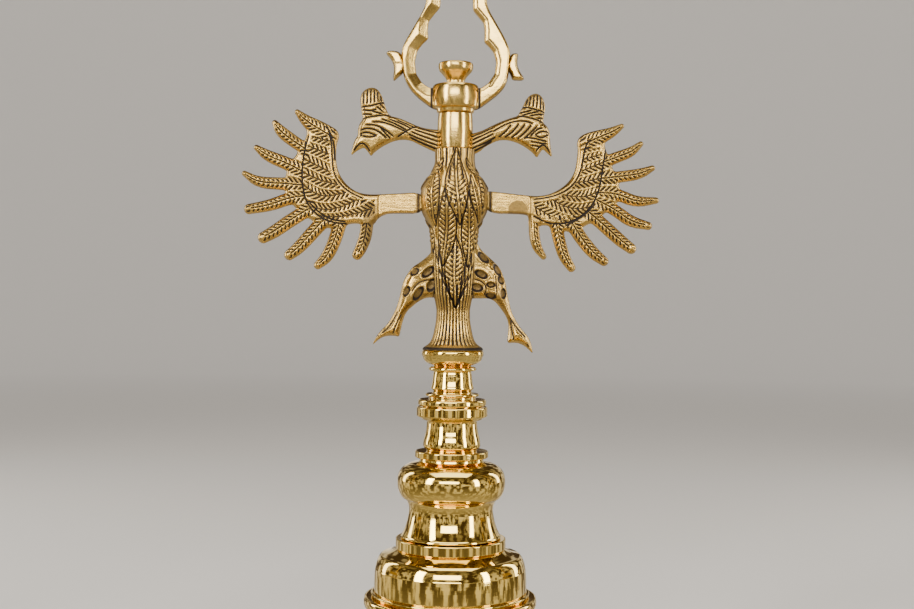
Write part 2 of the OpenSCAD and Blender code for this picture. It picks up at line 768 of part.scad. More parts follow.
// The hub at x: an eye, a turned bell and one small eye for each chain.
module hub(x) {
    h = hub_h;
    color(brass) translate([x, 0, 0]) {
        translate([0, 0, z_hub + eye_r]) eye(eye_r, link_wire_r);
        turned([[0, -h], [hub_r, -h], [hub_r, -h + hub_disc_t], [hub_r - 3, -h + 3.2],
            [2.4, -1.5], [2.4, 0.6], [0, 0.6]], z_hub);
        for (i = [0:chain_n - 1]) rotate([0, 0, 90 + i * 360 / chain_n])
            translate([hub_eye_x, 0, z_hub_eye]) eye(small_eye_r, small_eye_wire);
    }
}

module left_hub() {
    hub(-beam_l);
}

module right_hub() {
    hub(beam_l);
}

// All chains of the pan at x: round links, each a quarter turn from the last, from
// the hub's eyes down to the rim's.
module chains(x) {
    color(brass) translate([x, 0, 0]) for (i = [0:chain_n - 1])
        rotate([0, 0, 90 + i * 360 / chain_n])
            translate([hub_eye_x, 0, z_hub_eye - small_eye_r]) rotate([0, -run_tilt, 0])
                for (k = [0:link_n - 1])
                    translate([0, 0, lead - chain_link_r - k * pitch])
                        rotate([0, 0, k % 2 == 0 ? 90 : 0]) eye(chain_link_r, wire_r);
}

module left_chains() {
    chains(-beam_l);
}

module right_chains() {
    chains(beam_l);
}

// The pan at x: a shallow dish with a rolled rim and one eye for each chain.
module pan(x) {
    r = pan_r;
    d = pan_depth;
    w = pan_wall;
    color(brass) translate([x, 0, pan_z]) {
        rotate_extrude() polygon(concat([[0, -d], [r * 0.55, -d]],
            bend([r * 0.55, -d], [r * 0.92, -d], [r, 0], 10),
            [[r - w, 0]],
            bend([r - w, 0], [r * 0.92 - w, -d + w], [r * 0.55, -d + w], 10),
            [[0, -d + w]]));
        rotate_extrude() translate([r - w / 2, 0]) circle(w, $fn = 24);
        for (i = [0:chain_n - 1]) rotate([0, 0, 90 + i * 360 / chain_n])
            translate([rim_eye_x, 0, rim_eye_z - pan_z]) eye(small_eye_r, wire_r);
    }
}

module left_pan() {
    pan(-beam_l);
}

module right_pan() {
    pan(beam_l);
}

foot_skirt();
skirt_ring();
base_dome();
dome_cap_disc();
baluster_bulb();
bulb_cap_disc();
lower_spool();
lower_joint_disc();
upper_joint_disc();
lower_flange();
upper_spool();
upper_flange();
tail_cup();
tie_rod();
rod_washer();
rod_nut();
eagle_torso();
left_wing();
right_wing();
left_head();
right_head();
left_leg();
right_leg();
neck_post();
neck_ferrule();
finial_knob();
lyre_collar();
lyre_left_arm();
lyre_right_arm();
left_crescent();
right_crescent();
yoke_block();
front_cheek();
rear_cheek();
front_bush();
rear_bush();
cheek_screws();
cheek_bridge();
head_finial();
balance_beam();
centre_pin();
pointer();
left_end_pin();
right_end_pin();
left_stirrup();
right_stirrup();
left_joining_ring();
right_joining_ring();
left_hub();
right_hub();
left_chains();
right_chains();
left_pan();
right_pan();
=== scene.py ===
import json
import math
import bmesh
import bpy
import numpy as np
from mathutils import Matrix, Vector


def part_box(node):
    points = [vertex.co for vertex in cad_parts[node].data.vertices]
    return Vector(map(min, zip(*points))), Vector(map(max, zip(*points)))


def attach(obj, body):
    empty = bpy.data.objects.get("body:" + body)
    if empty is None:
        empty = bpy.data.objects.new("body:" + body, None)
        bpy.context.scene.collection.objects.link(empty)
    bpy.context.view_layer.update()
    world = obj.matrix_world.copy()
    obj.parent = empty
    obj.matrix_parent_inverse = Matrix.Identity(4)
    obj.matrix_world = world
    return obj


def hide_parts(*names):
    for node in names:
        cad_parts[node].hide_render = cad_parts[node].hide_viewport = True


# Brass weighing scale: turned column, cast two-headed eagle, lyre fork, beam and pans.
# All shapes below are worked out in millimetres and written to the meshes in metres.
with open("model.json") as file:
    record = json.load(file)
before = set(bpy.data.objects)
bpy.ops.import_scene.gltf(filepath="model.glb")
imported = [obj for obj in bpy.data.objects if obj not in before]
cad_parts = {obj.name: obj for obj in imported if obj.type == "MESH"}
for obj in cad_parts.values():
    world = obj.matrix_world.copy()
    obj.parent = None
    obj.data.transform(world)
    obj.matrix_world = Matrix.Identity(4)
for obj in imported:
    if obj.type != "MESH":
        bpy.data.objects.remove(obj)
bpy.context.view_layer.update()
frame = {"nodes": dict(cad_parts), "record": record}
nodes = frame["nodes"]
mm = 0.001


def lowZ(node):
    # Lowest height of a CAD node, in millimetres.
    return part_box(node)[0].z / mm


def highZ(node):
    # Greatest height of a CAD node, in millimetres.
    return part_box(node)[1].z / mm


def makeMesh(name, points, quads, patina_and_shade=None):
    # Writes an (n, 3) array of millimetre points and an (m, 4) array of corners,
    # closes seams and poles, and turns the faces outwards by the sign of the volume.
    p = np.asarray(points, float) * mm
    q = np.asarray(quads, int)
    a, b, c, d = (p[q[:, i]] for i in range(4))
    volume = np.sum(a * np.cross(b, c)) + np.sum(a * np.cross(c, d))
    if volume < 0:
        q = q[:, ::-1]
    mesh = bpy.data.meshes.new(name)
    mesh.vertices.add(len(p))
    mesh.vertices.foreach_set("co", p.ravel())
    mesh.loops.add(4 * len(q))
    mesh.loops.foreach_set("vertex_index", q.ravel())
    mesh.polygons.add(len(q))
    mesh.polygons.foreach_set("loop_start", np.arange(0, 4 * len(q), 4))
    mesh.polygons.foreach_set("use_smooth", np.ones(len(q), bool))
    mesh.update(calc_edges=True)
    # per-point patina_and_shade: patina in the cuts and hollows, plus painted shade on the torso's sides, the
    # legs and the lyre arms' outer edges
    layer = mesh.attributes.new("patina_and_shade", "FLOAT", "POINT")
    layer.data.foreach_set("value", np.zeros(len(p)) if patina_and_shade is None else np.ravel(patina_and_shade))
    work = bmesh.new()
    work.from_mesh(mesh)
    bmesh.ops.remove_doubles(work, verts=work.verts, dist=1e-6)
    bmesh.ops.dissolve_degenerate(work, dist=1e-7, edges=work.edges)
    work.to_mesh(mesh)
    work.free()
    obj = bpy.data.objects.new(name, mesh)
    bpy.context.scene.collection.objects.link(obj)
    return obj


def gridQuads(rows, columns, closeRows=False, closeColumns=False):
    # Corner numbers of a rows x columns grid of points, wrapped round where it closes.
    r = np.arange(rows if closeRows else rows - 1)
    c = np.arange(columns if closeColumns else columns - 1)
    r, c = np.meshgrid(r, c, indexing="ij")
    r2, c2 = (r + 1) % rows, (c + 1) % columns
    return np.stack([r * columns + c, r * columns + c2, r2 * columns + c2,
                     r2 * columns + c], -1).reshape(-1, 4)


def place(obj, body, material, slot, *replaced):
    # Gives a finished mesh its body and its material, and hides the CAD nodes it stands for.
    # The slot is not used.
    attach(obj, body)
    if replaced:
        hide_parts(*replaced)
    obj.data.materials.clear()
    obj.data.materials.append(material)
    return obj


def rounded(points, radius=0.35, steps=4):
    # Each corner of the outline becomes a short quadratic curve that starts and ends
    # at the given distance from it; a third number in a point is its own radius.
    out = []
    n = len(points)
    for i in range(n):
        p = np.array(points[i][:2], float)
        a = np.array(points[i - 1][:2], float)
        b = np.array(points[(i + 1) % n][:2], float)
        la, lb = np.linalg.norm(a - p), np.linalg.norm(b - p)
        r = points[i][2] if len(points[i]) > 2 else radius
        r = min(r, 0.45 * la, 0.45 * lb)
        s, e = p + (a - p) / la * r, p + (b - p) / lb * r
        extra = min(0.12, 0.04 * la, 0.04 * lb)
        out.append(s + (a - p) / la * extra)
        for t in np.linspace(0, 1, steps + 1):
            out.append((1 - t) ** 2 * s + 2 * t * (1 - t) * p + t * t * e)
        out.append(e + (b - p) / lb * extra)
    return np.array(out)


def arc(a, b, c, n=10):
    # A quadratic curve from a to c, pulled towards b, as a list of points.
    a, b, c = (np.array(v, float) for v in (a, b, c))
    return [tuple((1 - t) ** 2 * a + 2 * t * (1 - t) * b + t * t * c) + (0.25,)
            for t in np.linspace(0, 1, n)]


def lathe(name, points, baseZ, x=0.0, radius=0.35, turns=112, wobble=0.0):
    # Carries a closed outline of (radius, height) points once round the Z axis at x;
    # wobble swells the radius by that many millimetres in slow waves.
    profile = rounded(points, radius)
    angle = np.arange(turns) * 2 * math.pi / turns
    r = profile[:, 0][:, None] + 0 * angle
    z = profile[:, 1][:, None] + baseZ + 0 * angle
    r = r * (1 + wobble / 20 * np.sin(2 * angle + 0.7 * np.sin(z / 9)))
    pts = np.stack([x + r * np.sin(angle), -r * np.cos(angle), z], -1).reshape(-1, 3)
    return makeMesh(name, pts, gridQuads(len(profile), turns, True, True))


def chaikin(points, times=2, closed=True):
    # Cuts every corner at a quarter and three quarters of its sides, a few times over.
    p = np.array(points, float)
    for _ in range(times):
        q = np.roll(p, -1, 0) if closed else p[1:]
        base = p if closed else p[:-1]
        cut = np.stack([0.75 * base + 0.25 * q, 0.25 * base + 0.75 * q], 1).reshape(-1, p.shape[1])
        p = cut if closed else np.vstack([p[:1], cut, p[-1:]])
    return p


def polygonField(x, z, outline):
    # Signed distance to a closed outline: the least distance to its sides, negative
    # inside, where a ray to the right crosses the outline an odd number of times.
    p, q = outline, np.roll(outline, -1, 0)
    best = np.full(x.shape, 1e9)
    odd = np.zeros(x.shape, bool)
    for (ax, az), (bx, bz) in zip(p, q):
        dx, dz = bx - ax, bz - az
        t = np.clip(((x - ax) * dx + (z - az) * dz) / (dx * dx + dz * dz + 1e-12), 0, 1)
        best = np.minimum(best, (x - ax - t * dx) ** 2 + (z - az - t * dz) ** 2)
        if az != bz:
            crosses = ((az > z) != (bz > z)) & (x < dx * (z - az) / dz + ax)
            odd ^= crosses
    best = np.sqrt(best)
    return np.where(odd, -best, best)


def strokeField(x, z, points, smooth=2):
    # Distance to a chain of round strokes whose radius changes evenly along each
    # piece, with the run along the chain and the signed distance across it.
    p = chaikin(points, smooth, closed=False)
    best = np.full(x.shape, 1e9)
    along, across = np.zeros(x.shape), np.zeros(x.shape)
    run = 0.0
    for a, b in zip(p[:-1], p[1:]):
        dx, dz = b[0] - a[0], b[1] - a[1]
        length = math.hypot(dx, dz) + 1e-9
        raw = ((x - a[0]) * dx + (z - a[1]) * dz) / length ** 2
        t = np.clip(raw, 0, 1)
        dist = np.hypot(x - a[0] - t * dx, z - a[1] - t * dz) - (a[2] + t * (b[2] - a[2]))
        side = (dx * (z - a[1]) - dz * (x - a[0])) / length
        closer = dist < best
        best = np.where(closer, dist, best)
        along = np.where(closer, run + t * length, along)
        across = np.where(closer, side, across)
        run += length
    return best, along, across, run


def lineGroove(x, z, points, width, smooth=2):
    # Depth from 0 to 1 of an engraved line: a bell curve of the distance to its path.
    chain = [(p[0], p[1], 0.0) for p in points]
    d, along, _, run = strokeField(x, z, chain, smooth)
    taper = np.clip(np.minimum(along, run - along) / (2.2 * width) + 0.45, 0, 1)
    return np.exp(-(d / width) ** 2) * taper


def barbs(along, across, pitch, lean, width=0.3):
    # Herringbone: lines that leave the spine at a slant, one to each pitch along it.
    phase = (along - lean * np.abs(across)) / pitch
    off = np.abs(phase - np.round(phase)) * pitch / math.hypot(1, lean)
    return np.exp(-(off / width) ** 2)


def plate(name, field, lowX, bottomZ, highX, highZ_, cell, heightOf):
    # A closed casting over the region where the field is negative: a grid of points
    # in X and Z, those just outside moved down the field's slope onto the outline,
    # and front and back surfaces at minus and plus the height, joined at the rim.
    x = np.arange(lowX, highX + cell, cell)
    z = np.arange(bottomZ, highZ_ + cell, cell)
    x, z = np.meshgrid(x, z, indexing="ij")
    d = field(x, z)
    gx, gz = np.gradient(d, cell)
    inside = d < -0.02
    cellIn = inside[:-1, :-1] | inside[1:, :-1] | inside[:-1, 1:] | inside[1:, 1:]
    i, j = np.nonzero(cellIn)
    columns = x.shape[1]
    quads = np.stack([i * columns + j, i * columns + j + 1, (i + 1) * columns + j + 1,
                      (i + 1) * columns + j], -1)
    slope = gx * gx + gz * gz + 1e-9
    outside = ~inside
    for _ in range(2):
        x = np.where(outside, x - d * gx / slope, x)
        z = np.where(outside, z - d * gz / slope, z)
        d = np.where(outside, field(x, z), d)
    height, patina_and_shade = heightOf(x, z, d)
    height = np.where(outside, 0, np.maximum(height, 0.02))
    flat, inv = np.unique(quads, return_inverse=True)
    inv = inv.reshape(quads.shape)
    X, Z, H, G = (v.ravel()[flat] for v in (x, z, height, patina_and_shade))
    front = np.stack([X, -H, Z], -1)
    back = np.stack([X, H, Z], -1)
    n = len(flat)
    both = np.vstack([inv, inv[:, ::-1] + n])
    return makeMesh(name, np.vstack([front, back]), both, np.concatenate([G, G]))


def outlinePlate(name, outline, corners, cell, heightOf):
    # A casting over the inside of one closed outline, on a grid a millimetre wider.
    def field(x, z):
        return polygonField(x, z, outline)

    low, high = corners.min(0) - 1, corners.max(0) + 1
    return plate(name, field, low[0], low[1], high[0], high[1], cell, heightOf)


def pillow(d, width, full, power=2.0):
    # Height that rises from 0 at the rim to full, flat once it is width inside it.
    q = np.clip(-d / width, 0, 1)
    return full * (1 - (1 - q) ** power)


def newGroup(name, inputs, outputs):
    # An empty shader group with the named sockets, and its input and output nodes.
    group = bpy.data.node_groups.new(name, "ShaderNodeTree")
    for label, kind, value in inputs:
        item = group.interface.new_socket(label, in_out="INPUT", socket_type=kind)
        item.default_value = value
    for label, kind in outputs:
        group.interface.new_socket(label, in_out="OUTPUT", socket_type=kind)
    return group, group.nodes.new("NodeGroupInput"), group.nodes.new("NodeGroupOutput")


def mathNode(tree, operation, a, b=None, c=None, clamp=False):
    # One Math node: its values are numbers or sockets.
    node = tree.nodes.new("ShaderNodeMath")
    node.operation = operation
    node.use_clamp = clamp
    for socket, value in zip(node.inputs, (a, b, c)):
        if value is None:
            continue
        if isinstance(value, (int, float)):
            socket.default_value = value
        else:
            tree.links.new(value, socket)
    return node.outputs[0]


def noiseNode(tree, vector, scale, detail=3.0, rough=0.55):
    # Noise from 0 to 1 over a vector times scale.
    node = tree.nodes.new("ShaderNodeTexNoise")
    tree.links.new(vector, node.inputs["Vector"])
    node.inputs["Scale"].default_value = scale
    node.inputs["Detail"].default_value = detail
    node.inputs["Roughness"].default_value = rough
    return node.outputs["Fac"]


def stretchNode(tree, vector, x, y, z):
    # The vector times its own factor on each axis.
    node = tree.nodes.new("ShaderNodeMapping")
    node.inputs["Scale"].default_value = (x, y, z)
    tree.links.new(vector, node.inputs["Vector"])
    return node.outputs["Vector"]


def rampNode(tree, value, low, high):
    # (value - low) / (high - low), held between 0 and 1.
    node = tree.nodes.new("ShaderNodeMapRange")
    node.inputs["From Min"].default_value = low
    node.inputs["From Max"].default_value = high
    tree.links.new(value, node.inputs["Value"])
    return node.outputs["Result"]


def mixNode(tree, factor, a, b):
    # Colour a plus factor times (b - a).
    node = tree.nodes.new("ShaderNodeMix")
    node.data_type = "RGBA"
    for socket, value in ((node.inputs[0], factor), (node.inputs[6], a), (node.inputs[7], b)):
        if isinstance(value, (int, float, tuple)):
            socket.default_value = value
        else:
            tree.links.new(value, socket)
    return node.outputs[2]


def patinaAndShadeGroup():
    # Patina and painted-shade mask: the patina in the casting's cuts, with the painted shade that comes in
    # through the same input, plus blotches of noise, and the brass colour darkened by it; the height output
    # is fine casting grain.
    group, gin, gout = newGroup("patinaAndShade", [
        ("Vector", "NodeSocketVector", (0, 0, 0)), ("Depth", "NodeSocketFloat", 0.0),
        ("Brass", "NodeSocketColor", (0.8, 0.6, 0.3, 1)),
        ("Dark", "NodeSocketColor", (0.05, 0.03, 0.015, 1)),
        ("Blotch Scale", "NodeSocketFloat", 90.0), ("Blotch", "NodeSocketFloat", 0.25)],
        [("Color", "NodeSocketColor"), ("Mask", "NodeSocketFloat"),
         ("Height", "NodeSocketFloat")])
    v = gin.outputs["Vector"]
    blotchNoise = group.nodes.new("ShaderNodeTexNoise")
    blotchNoise.inputs["Detail"].default_value = 4
    group.links.new(v, blotchNoise.inputs["Vector"])
    group.links.new(gin.outputs["Blotch Scale"], blotchNoise.inputs["Scale"])
    blotch = rampNode(group, blotchNoise.outputs["Fac"], 0.48, 0.72)
    blotch = mathNode(group, "MULTIPLY", blotch, gin.outputs["Blotch"])
    fine = noiseNode(group, v, 900, 2)
    ragged = mathNode(group, "MULTIPLY_ADD", fine, 0.5, 0.75)
    patinaShadeLevel = mathNode(group, "MULTIPLY", gin.outputs["Depth"], ragged, clamp=True)
    patinaShadeLevel = rampNode(group, patinaShadeLevel, 0.15, 0.66)
    mask = mathNode(group, "MAXIMUM", patinaShadeLevel, blotch)
    group.links.new(mixNode(group, mask, gin.outputs["Brass"], gin.outputs["Dark"]),
                    gout.inputs["Color"])
    group.links.new(mask, gout.inputs["Mask"])
    grain = mathNode(group, "MULTIPLY_ADD", noiseNode(group, v, 420, 4, 0.6), 0.7,
                     mathNode(group, "MULTIPLY", noiseNode(group, v, 1600, 2), 0.3))
    brushed = noiseNode(group, stretchNode(group, v, 120, 1500, 1500), 1.0, 2)
    grain = mathNode(group, "MULTIPLY_ADD", brushed, 0.35, grain)
    group.links.new(grain, gout.inputs["Height"])
    return group


def turningGroup():
    # Turning marks: noise drawn out into thin rings round Z, and slow waves in it.
    group, gin, gout = newGroup("turning", [
        ("Vector", "NodeSocketVector", (0, 0, 0)), ("Rings", "NodeSocketFloat", 1.0)],
        [("Height", "NodeSocketFloat"), ("Smudge", "NodeSocketFloat")])
    v = gin.outputs["Vector"]
    rings = noiseNode(group, stretchNode(group, v, 6, 6, 1500), 1.0, 3)
    waves = noiseNode(group, stretchNode(group, v, 26, 26, 40), 1.0, 1)
    height = mathNode(group, "MULTIPLY_ADD", rings, 0.12, waves)
    group.links.new(mathNode(group, "MULTIPLY", height, gin.outputs["Rings"]),
                    gout.inputs["Height"])
    smudge = rampNode(group, noiseNode(group, v, 55, 5, 0.65), 0.42, 0.75)
    group.links.new(smudge, gout.inputs["Smudge"])
    return group


def brushGroup():
    # Brushing: noise drawn out along X into fine scratches, for flat bars.
    group, gin, gout = newGroup("brushing", [("Vector", "NodeSocketVector", (0, 0, 0))],
                                [("Height", "NodeSocketFloat")])
    v = gin.outputs["Vector"]
    fine = noiseNode(group, stretchNode(group, v, 40, 900, 900), 1.0, 3)
    wide = noiseNode(group, v, 120, 3)
    group.links.new(mathNode(group, "MULTIPLY_ADD", wide, 0.5, fine), gout.inputs["Height"])
    return group


groups = {"patinaAndShade": patinaAndShadeGroup(), "turning": turningGroup(), "brushing": brushGroup()}


def useGroup(tree, name):
    # Places a group made above in a material.
    node = tree.nodes.new("ShaderNodeGroup")
    node.node_tree = groups[name]
    return node


def startMaterial(name):
    # A metal material with its shader and its Object coordinates.
    material = bpy.data.materials.new(name)
    material.use_nodes = True
    tree = material.node_tree
    shader = tree.nodes["Principled BSDF"]
    shader.inputs["Metallic"].default_value = 1.0
    vector = tree.nodes.new("ShaderNodeTexCoord").outputs["Object"]
    return material, tree, shader, vector


def bump(tree, shader, height, strength, distance):
    # Feeds a height, in metres of distance, to the normal.
    node = tree.nodes.new("ShaderNodeBump")
    node.inputs["Strength"].default_value = strength
    node.inputs["Distance"].default_value = distance
    tree.links.new(height, node.inputs["Height"])
    tree.links.new(node.outputs["Normal"], shader.inputs["Normal"])


def castBrass(name, look):
    # Brass to warm brown by noise, then to black by the patina and painted-shade mask, which also
    # makes the cuts and the painted shade rougher and less metallic.
    material, tree, shader, vector = startMaterial(name)
    patinaShadeLevel = tree.nodes.new("ShaderNodeAttribute")
    patinaShadeLevel.attribute_name = "patina_and_shade"
    patinaAndShade = useGroup(tree, "patinaAndShade")
    tree.links.new(vector, patinaAndShade.inputs["Vector"])
    tree.links.new(patinaShadeLevel.outputs["Fac"], patinaAndShade.inputs["Depth"])
    patinaAndShade.inputs["Brass"].default_value = look["brass"]
    patinaAndShade.inputs["Dark"].default_value = look["dark"]
    patinaAndShade.inputs["Blotch Scale"].default_value = look["blotchScale"]
    patinaAndShade.inputs["Blotch"].default_value = look["blotch"]
    tone = mixNode(tree, mathNode(tree, "MULTIPLY", noiseNode(tree, vector, 60, 3), 0.6),
                   patinaAndShade.outputs["Color"], look["warm"])
    tree.links.new(mixNode(tree, patinaAndShade.outputs["Mask"], tone, look["dark"]),
                   shader.inputs["Base Color"])
    rough = mathNode(tree, "MULTIPLY_ADD", patinaAndShade.outputs["Mask"], look["roughGrooves"],
                     look["rough"])
    rough = mathNode(tree, "MULTIPLY_ADD", noiseNode(tree, vector, 300, 3), 0.14, rough)
    tree.links.new(rough, shader.inputs["Roughness"])
    metal = mathNode(tree, "MULTIPLY_ADD", patinaAndShade.outputs["Mask"], -0.92, 1.0)
    tree.links.new(metal, shader.inputs["Metallic"])
    shader.inputs["Specular IOR Level"].default_value = 0.25
    bump(tree, shader, patinaAndShade.outputs["Height"], look["grain"], 0.0004)
    return material


def polishedBrass(name, look):
    # Mirror brass whose smudges are a little darker and rougher, over turning rings.
    material, tree, shader, vector = startMaterial(name)
    turning = useGroup(tree, "turning")
    tree.links.new(vector, turning.inputs["Vector"])
    turning.inputs["Rings"].default_value = look["rings"]
    smudge = mathNode(tree, "MULTIPLY", turning.outputs["Smudge"], look["tarnish"])
    tree.links.new(mixNode(tree, smudge, look["brass"], look["tarnished"]),
                   shader.inputs["Base Color"])
    tree.links.new(mathNode(tree, "MULTIPLY_ADD", turning.outputs["Smudge"],
                            look["roughSpread"], look["rough"]), shader.inputs["Roughness"])
    bump(tree, shader, turning.outputs["Height"], look["waviness"], 0.0006)
    return material


def brushedMetal(name, look):
    # Metal in two tones by blotches of noise, over fine scratches along X.
    material, tree, shader, vector = startMaterial(name)
    brushing = useGroup(tree, "brushing")
    tree.links.new(vector, brushing.inputs["Vector"])
    blotch = rampNode(tree, noiseNode(tree, vector, 80, 4), 0.45, 0.8)
    tree.links.new(mixNode(tree, blotch, look["brass"], look["tarnished"]),
                   shader.inputs["Base Color"])
    tree.links.new(mathNode(tree, "MULTIPLY_ADD", blotch, 0.15, look["rough"]),
                   shader.inputs["Roughness"])
    bump(tree, shader, brushing.outputs["Height"], look["grain"], 0.0003)
    return material


castLook = {"brass": (0.76, 0.52, 0.145, 1), "warm": (0.52, 0.27, 0.045, 1),
            "dark": (0.012, 0.007, 0.004, 1), "rough": 0.15, "roughGrooves": 0.4,
            "blotch": 0.3, "blotchScale": 95.0, "grain": 0.34}
lyreLook = dict(castLook, rough=0.12, grain=0.16, blotch=0.12, brass=(0.78, 0.57, 0.18, 1))
polishLook = {"brass": (0.87, 0.62, 0.155, 1), "tarnished": (0.56, 0.34, 0.07, 1),
              "tarnish": 0.3, "rough": 0.05, "roughSpread": 0.1, "rings": 1.0,
              "waviness": 0.12}
satinLook = {"brass": (0.74, 0.52, 0.14, 1), "tarnished": (0.52, 0.33, 0.08, 1),
             "rough": 0.32, "grain": 0.12}
steelLook = {"brass": (0.6, 0.6, 0.62, 1), "tarnished": (0.4, 0.38, 0.36, 1),
             "rough": 0.25, "grain": 0.1}
darkLook = {"brass": (0.42, 0.28, 0.12, 1), "tarnished": (0.2, 0.12, 0.06, 1),
            "rough": 0.38, "grain": 0.15}
cast = castBrass("castBrass", castLook)
lyreBrass = castBrass("lyreBrass", lyreLook)
polished = polishedBrass("polishedBrass", polishLook)
satin = brushedMetal("satinBrass", satinLook)
steel = brushedMetal("groundSteel", steelLook)
darkBrass = brushedMetal("darkBrass", darkLook)
slotMaterials = {"polished_brass": polished, "cast_brass": cast, "satin_brass": satin,
                 "dark_brass": darkBrass, "pin_steel": steel}
for part in frame["record"]["subparts"]:
    own = nodes[part["node"]].data.materials
    own.clear()
    own.append(slotMaterials[part["material_slot"]])
print("materials: done")

bore = 3.15  # radius of the hole for the clamping rod


def column():
    # Every turned piece: its outline from the bore out, up and back to the bore.
    low = lowZ("foot_skirt")
    footH = highZ("foot_skirt")
    skirt = [(bore, footH, 0.1), (38.3, footH)] + arc((38.3, footH - 0.5), (42, 17), (73, 8.4), 16)
    skirt += [(75, 8, 0.4), (79, 8, 1.4), (80, 7, 0.8), (80, 0.6), (79.6, 0), (77, 0),
              (77, 4.8, 0.6)]
    skirt += arc((71, 5), (39, 14), (35.3, footH - 4), 14) + [(35.3, footH - 3), (bore, footH - 3, 0.1)]
    z = lowZ("skirt_ring")
    ring = [(bore, 0, 0.1), (40.4, 0)] + arc((41.1, 0.6), (41.8, 2.4), (41, 4.6), 7)
    ring += [(40.2, 4.95), (37.2, 5.1), (36.6, 5.5, 0.2), (37.9, 5.9, 0.4), (37.9, 6.9, 0.3),
             (37, 7.2), (bore, 7.2, 0.1)]
    pieces = [("foot_skirt", skirt, low), ("skirt_ring", ring, z)]
    dome = [(bore, 0, 0.1), (36.4, 0, 0.3)]
    dome += arc((36.5, 0.6), (36.6, 6), (36.1, 11), 7) + arc((36, 11.3), (35.2, 15.5), (33.6, 17), 8)
    dome += arc((33.2, 17.3), (29.4, 18.1), (25.8, 20.2), 8) + [(25.5, 20.4, 0.1), (bore, 20.4, 0.1)]
    pieces.append(("base_dome", dome, lowZ("base_dome")))
    disc = [(bore, 0, 0.1), (26, 0), (26.4, 0.35, 0.2), (26.4, 4.65, 0.2), (26, 5), (bore, 5, 0.1)]
    pieces.append(("dome_cap_disc", disc, lowZ("dome_cap_disc")))
    bulb = [(bore, 0, 0.1), (23, 0), (24, 0.5, 0.3), (23.9, 1.2)]
    bulb += arc((23.4, 1.8), (20.7, 7), (20.2, 13), 12) + [(20.2, 14.2, 0.6)]
    bulb += arc((20.4, 15.2), (20.9, 17.4), (22.1, 18.6), 6) + [(22.7, 18.9, 0.2)]
    bulb += arc((23.6, 19.4), (25.8, 22), (25.9, 26.5), 10)
    bulb += arc((25.9, 27), (26, 33.5), (19.5, 35.6), 14) + [(15.5, 36.4, 0.6), (15, 38.4), (bore, 38.4, 0.1)]
    pieces.append(("baluster_bulb", bulb, lowZ("baluster_bulb")))
    cap = [(bore, 0, 0.1), (17.2, 0), (17.6, 0.35, 0.2), (17.6, 2.85, 0.2), (17.2, 3.2), (bore, 3.2, 0.1)]
    pieces.append(("bulb_cap_disc", cap, lowZ("bulb_cap_disc")))
    spool = [(bore, 0, 0.1), (12, 0), (12.1, 0.9), (13.3, 1.5, 0.3)]
    spool += arc((13.7, 2.1), (13.9, 4.4), (12.9, 7.6), 8) + arc((12.7, 8.3), (12, 12), (12.1, 14.2), 6)
    spool += [(14.4, 15, 0.5), (15.8, 16.2, 0.3), (bore, 16.2, 0.1)]
    pieces.append(("lower_spool", spool, lowZ("lower_spool")))
    lowerDisc = [(bore, 0, 0.1), (16.4, 0), (17, 0.5, 0.4), (17, 4.5, 0.25), (16.6, 4.9), (bore, 4.9, 0.1)]
    pieces.append(("lower_joint_disc", lowerDisc, lowZ("lower_joint_disc")))
    upperDisc = [(bore, 0, 0.1), (14.2, 0), (14.2, 0.45, 0.1), (15.8, 0.45), (16.4, 1, 0.5),
                 (16.4, 3, 0.5), (15.7, 3.6), (11.2, 3.7, 0.2), (11.2, 5), (bore, 5, 0.1)]
    pieces.append(("upper_joint_disc", upperDisc, lowZ("upper_joint_disc")))
    flange = [(bore, 0, 0.1), (12.4, 0), (13, 0.5, 0.4), (12.6, 1.3, 0.3), (9.5, 1.5), (9.4, 2.1),
              (bore, 2.1, 0.1)]
    pieces.append(("lower_flange", flange, lowZ("lower_flange")))
    neck = [(bore, 0, 0.1), (9, 0), (9.3, 0.8), (10.3, 1.4, 0.4)]
    neck += arc((10.2, 2.2), (9.5, 4.6), (9.4, 7.2), 8) + [(9.2, 8.8), (8.9, 10.1), (bore, 10.1, 0.1)]
    pieces.append(("upper_spool", neck, lowZ("upper_spool")))
    flange = [(bore, 0, 0.1), (11, 0), (11.5, 0.5, 0.4), (11.4, 1.4, 0.4), (10.6, 1.8), (9.3, 1.9),
              (9, 2.6), (bore, 2.6, 0.1)]
    pieces.append(("upper_flange", flange, lowZ("upper_flange")))
    cup = [(bore, 0, 0.1), (8.8, 0)]
    cup += arc((9.2, 0.1), (13.4, 0.6), (14.2, 3.4), 8) + arc((14.3, 3.8), (15.2, 5.2), (14.7, 6.7), 7)
    cup += [(13.8, 7.3, 0.4), (bore, 7.3, 0.1)]
    pieces.append(("tail_cup", cup, lowZ("tail_cup")))
    for node, outline, base in pieces:
        place(lathe(node + "_turned", outline, base), "stand", polished, "polished_brass", node)


column()
print("column: done")

torsoLook = {
    "silhouette": [(0.0, 14.6), (1.2, 14.4), (2.2, 12.2), (3.8, 10.8), (5.2, 10.1), (8, 9.3),
                   (11, 8.7), (14, 8.2), (19, 8.0), (23, 8.7), (26, 9.5), (34, 10.2), (45, 10.7),
                   (54, 11.1), (58.5, 11.7), (60, 12.6), (62.8, 14.2), (66, 15.7), (70, 16.4),
                   (73.5, 16.4), (77, 16.0), (78.7, 15.0), (81.6, 13.3), (84.4, 11.2),
                   (87.4, 10.1), (90.5, 9.6), (97, 9.7)],
    "rows": 280, "turns": 224, "flutes": 32, "sideShade": 0.5}
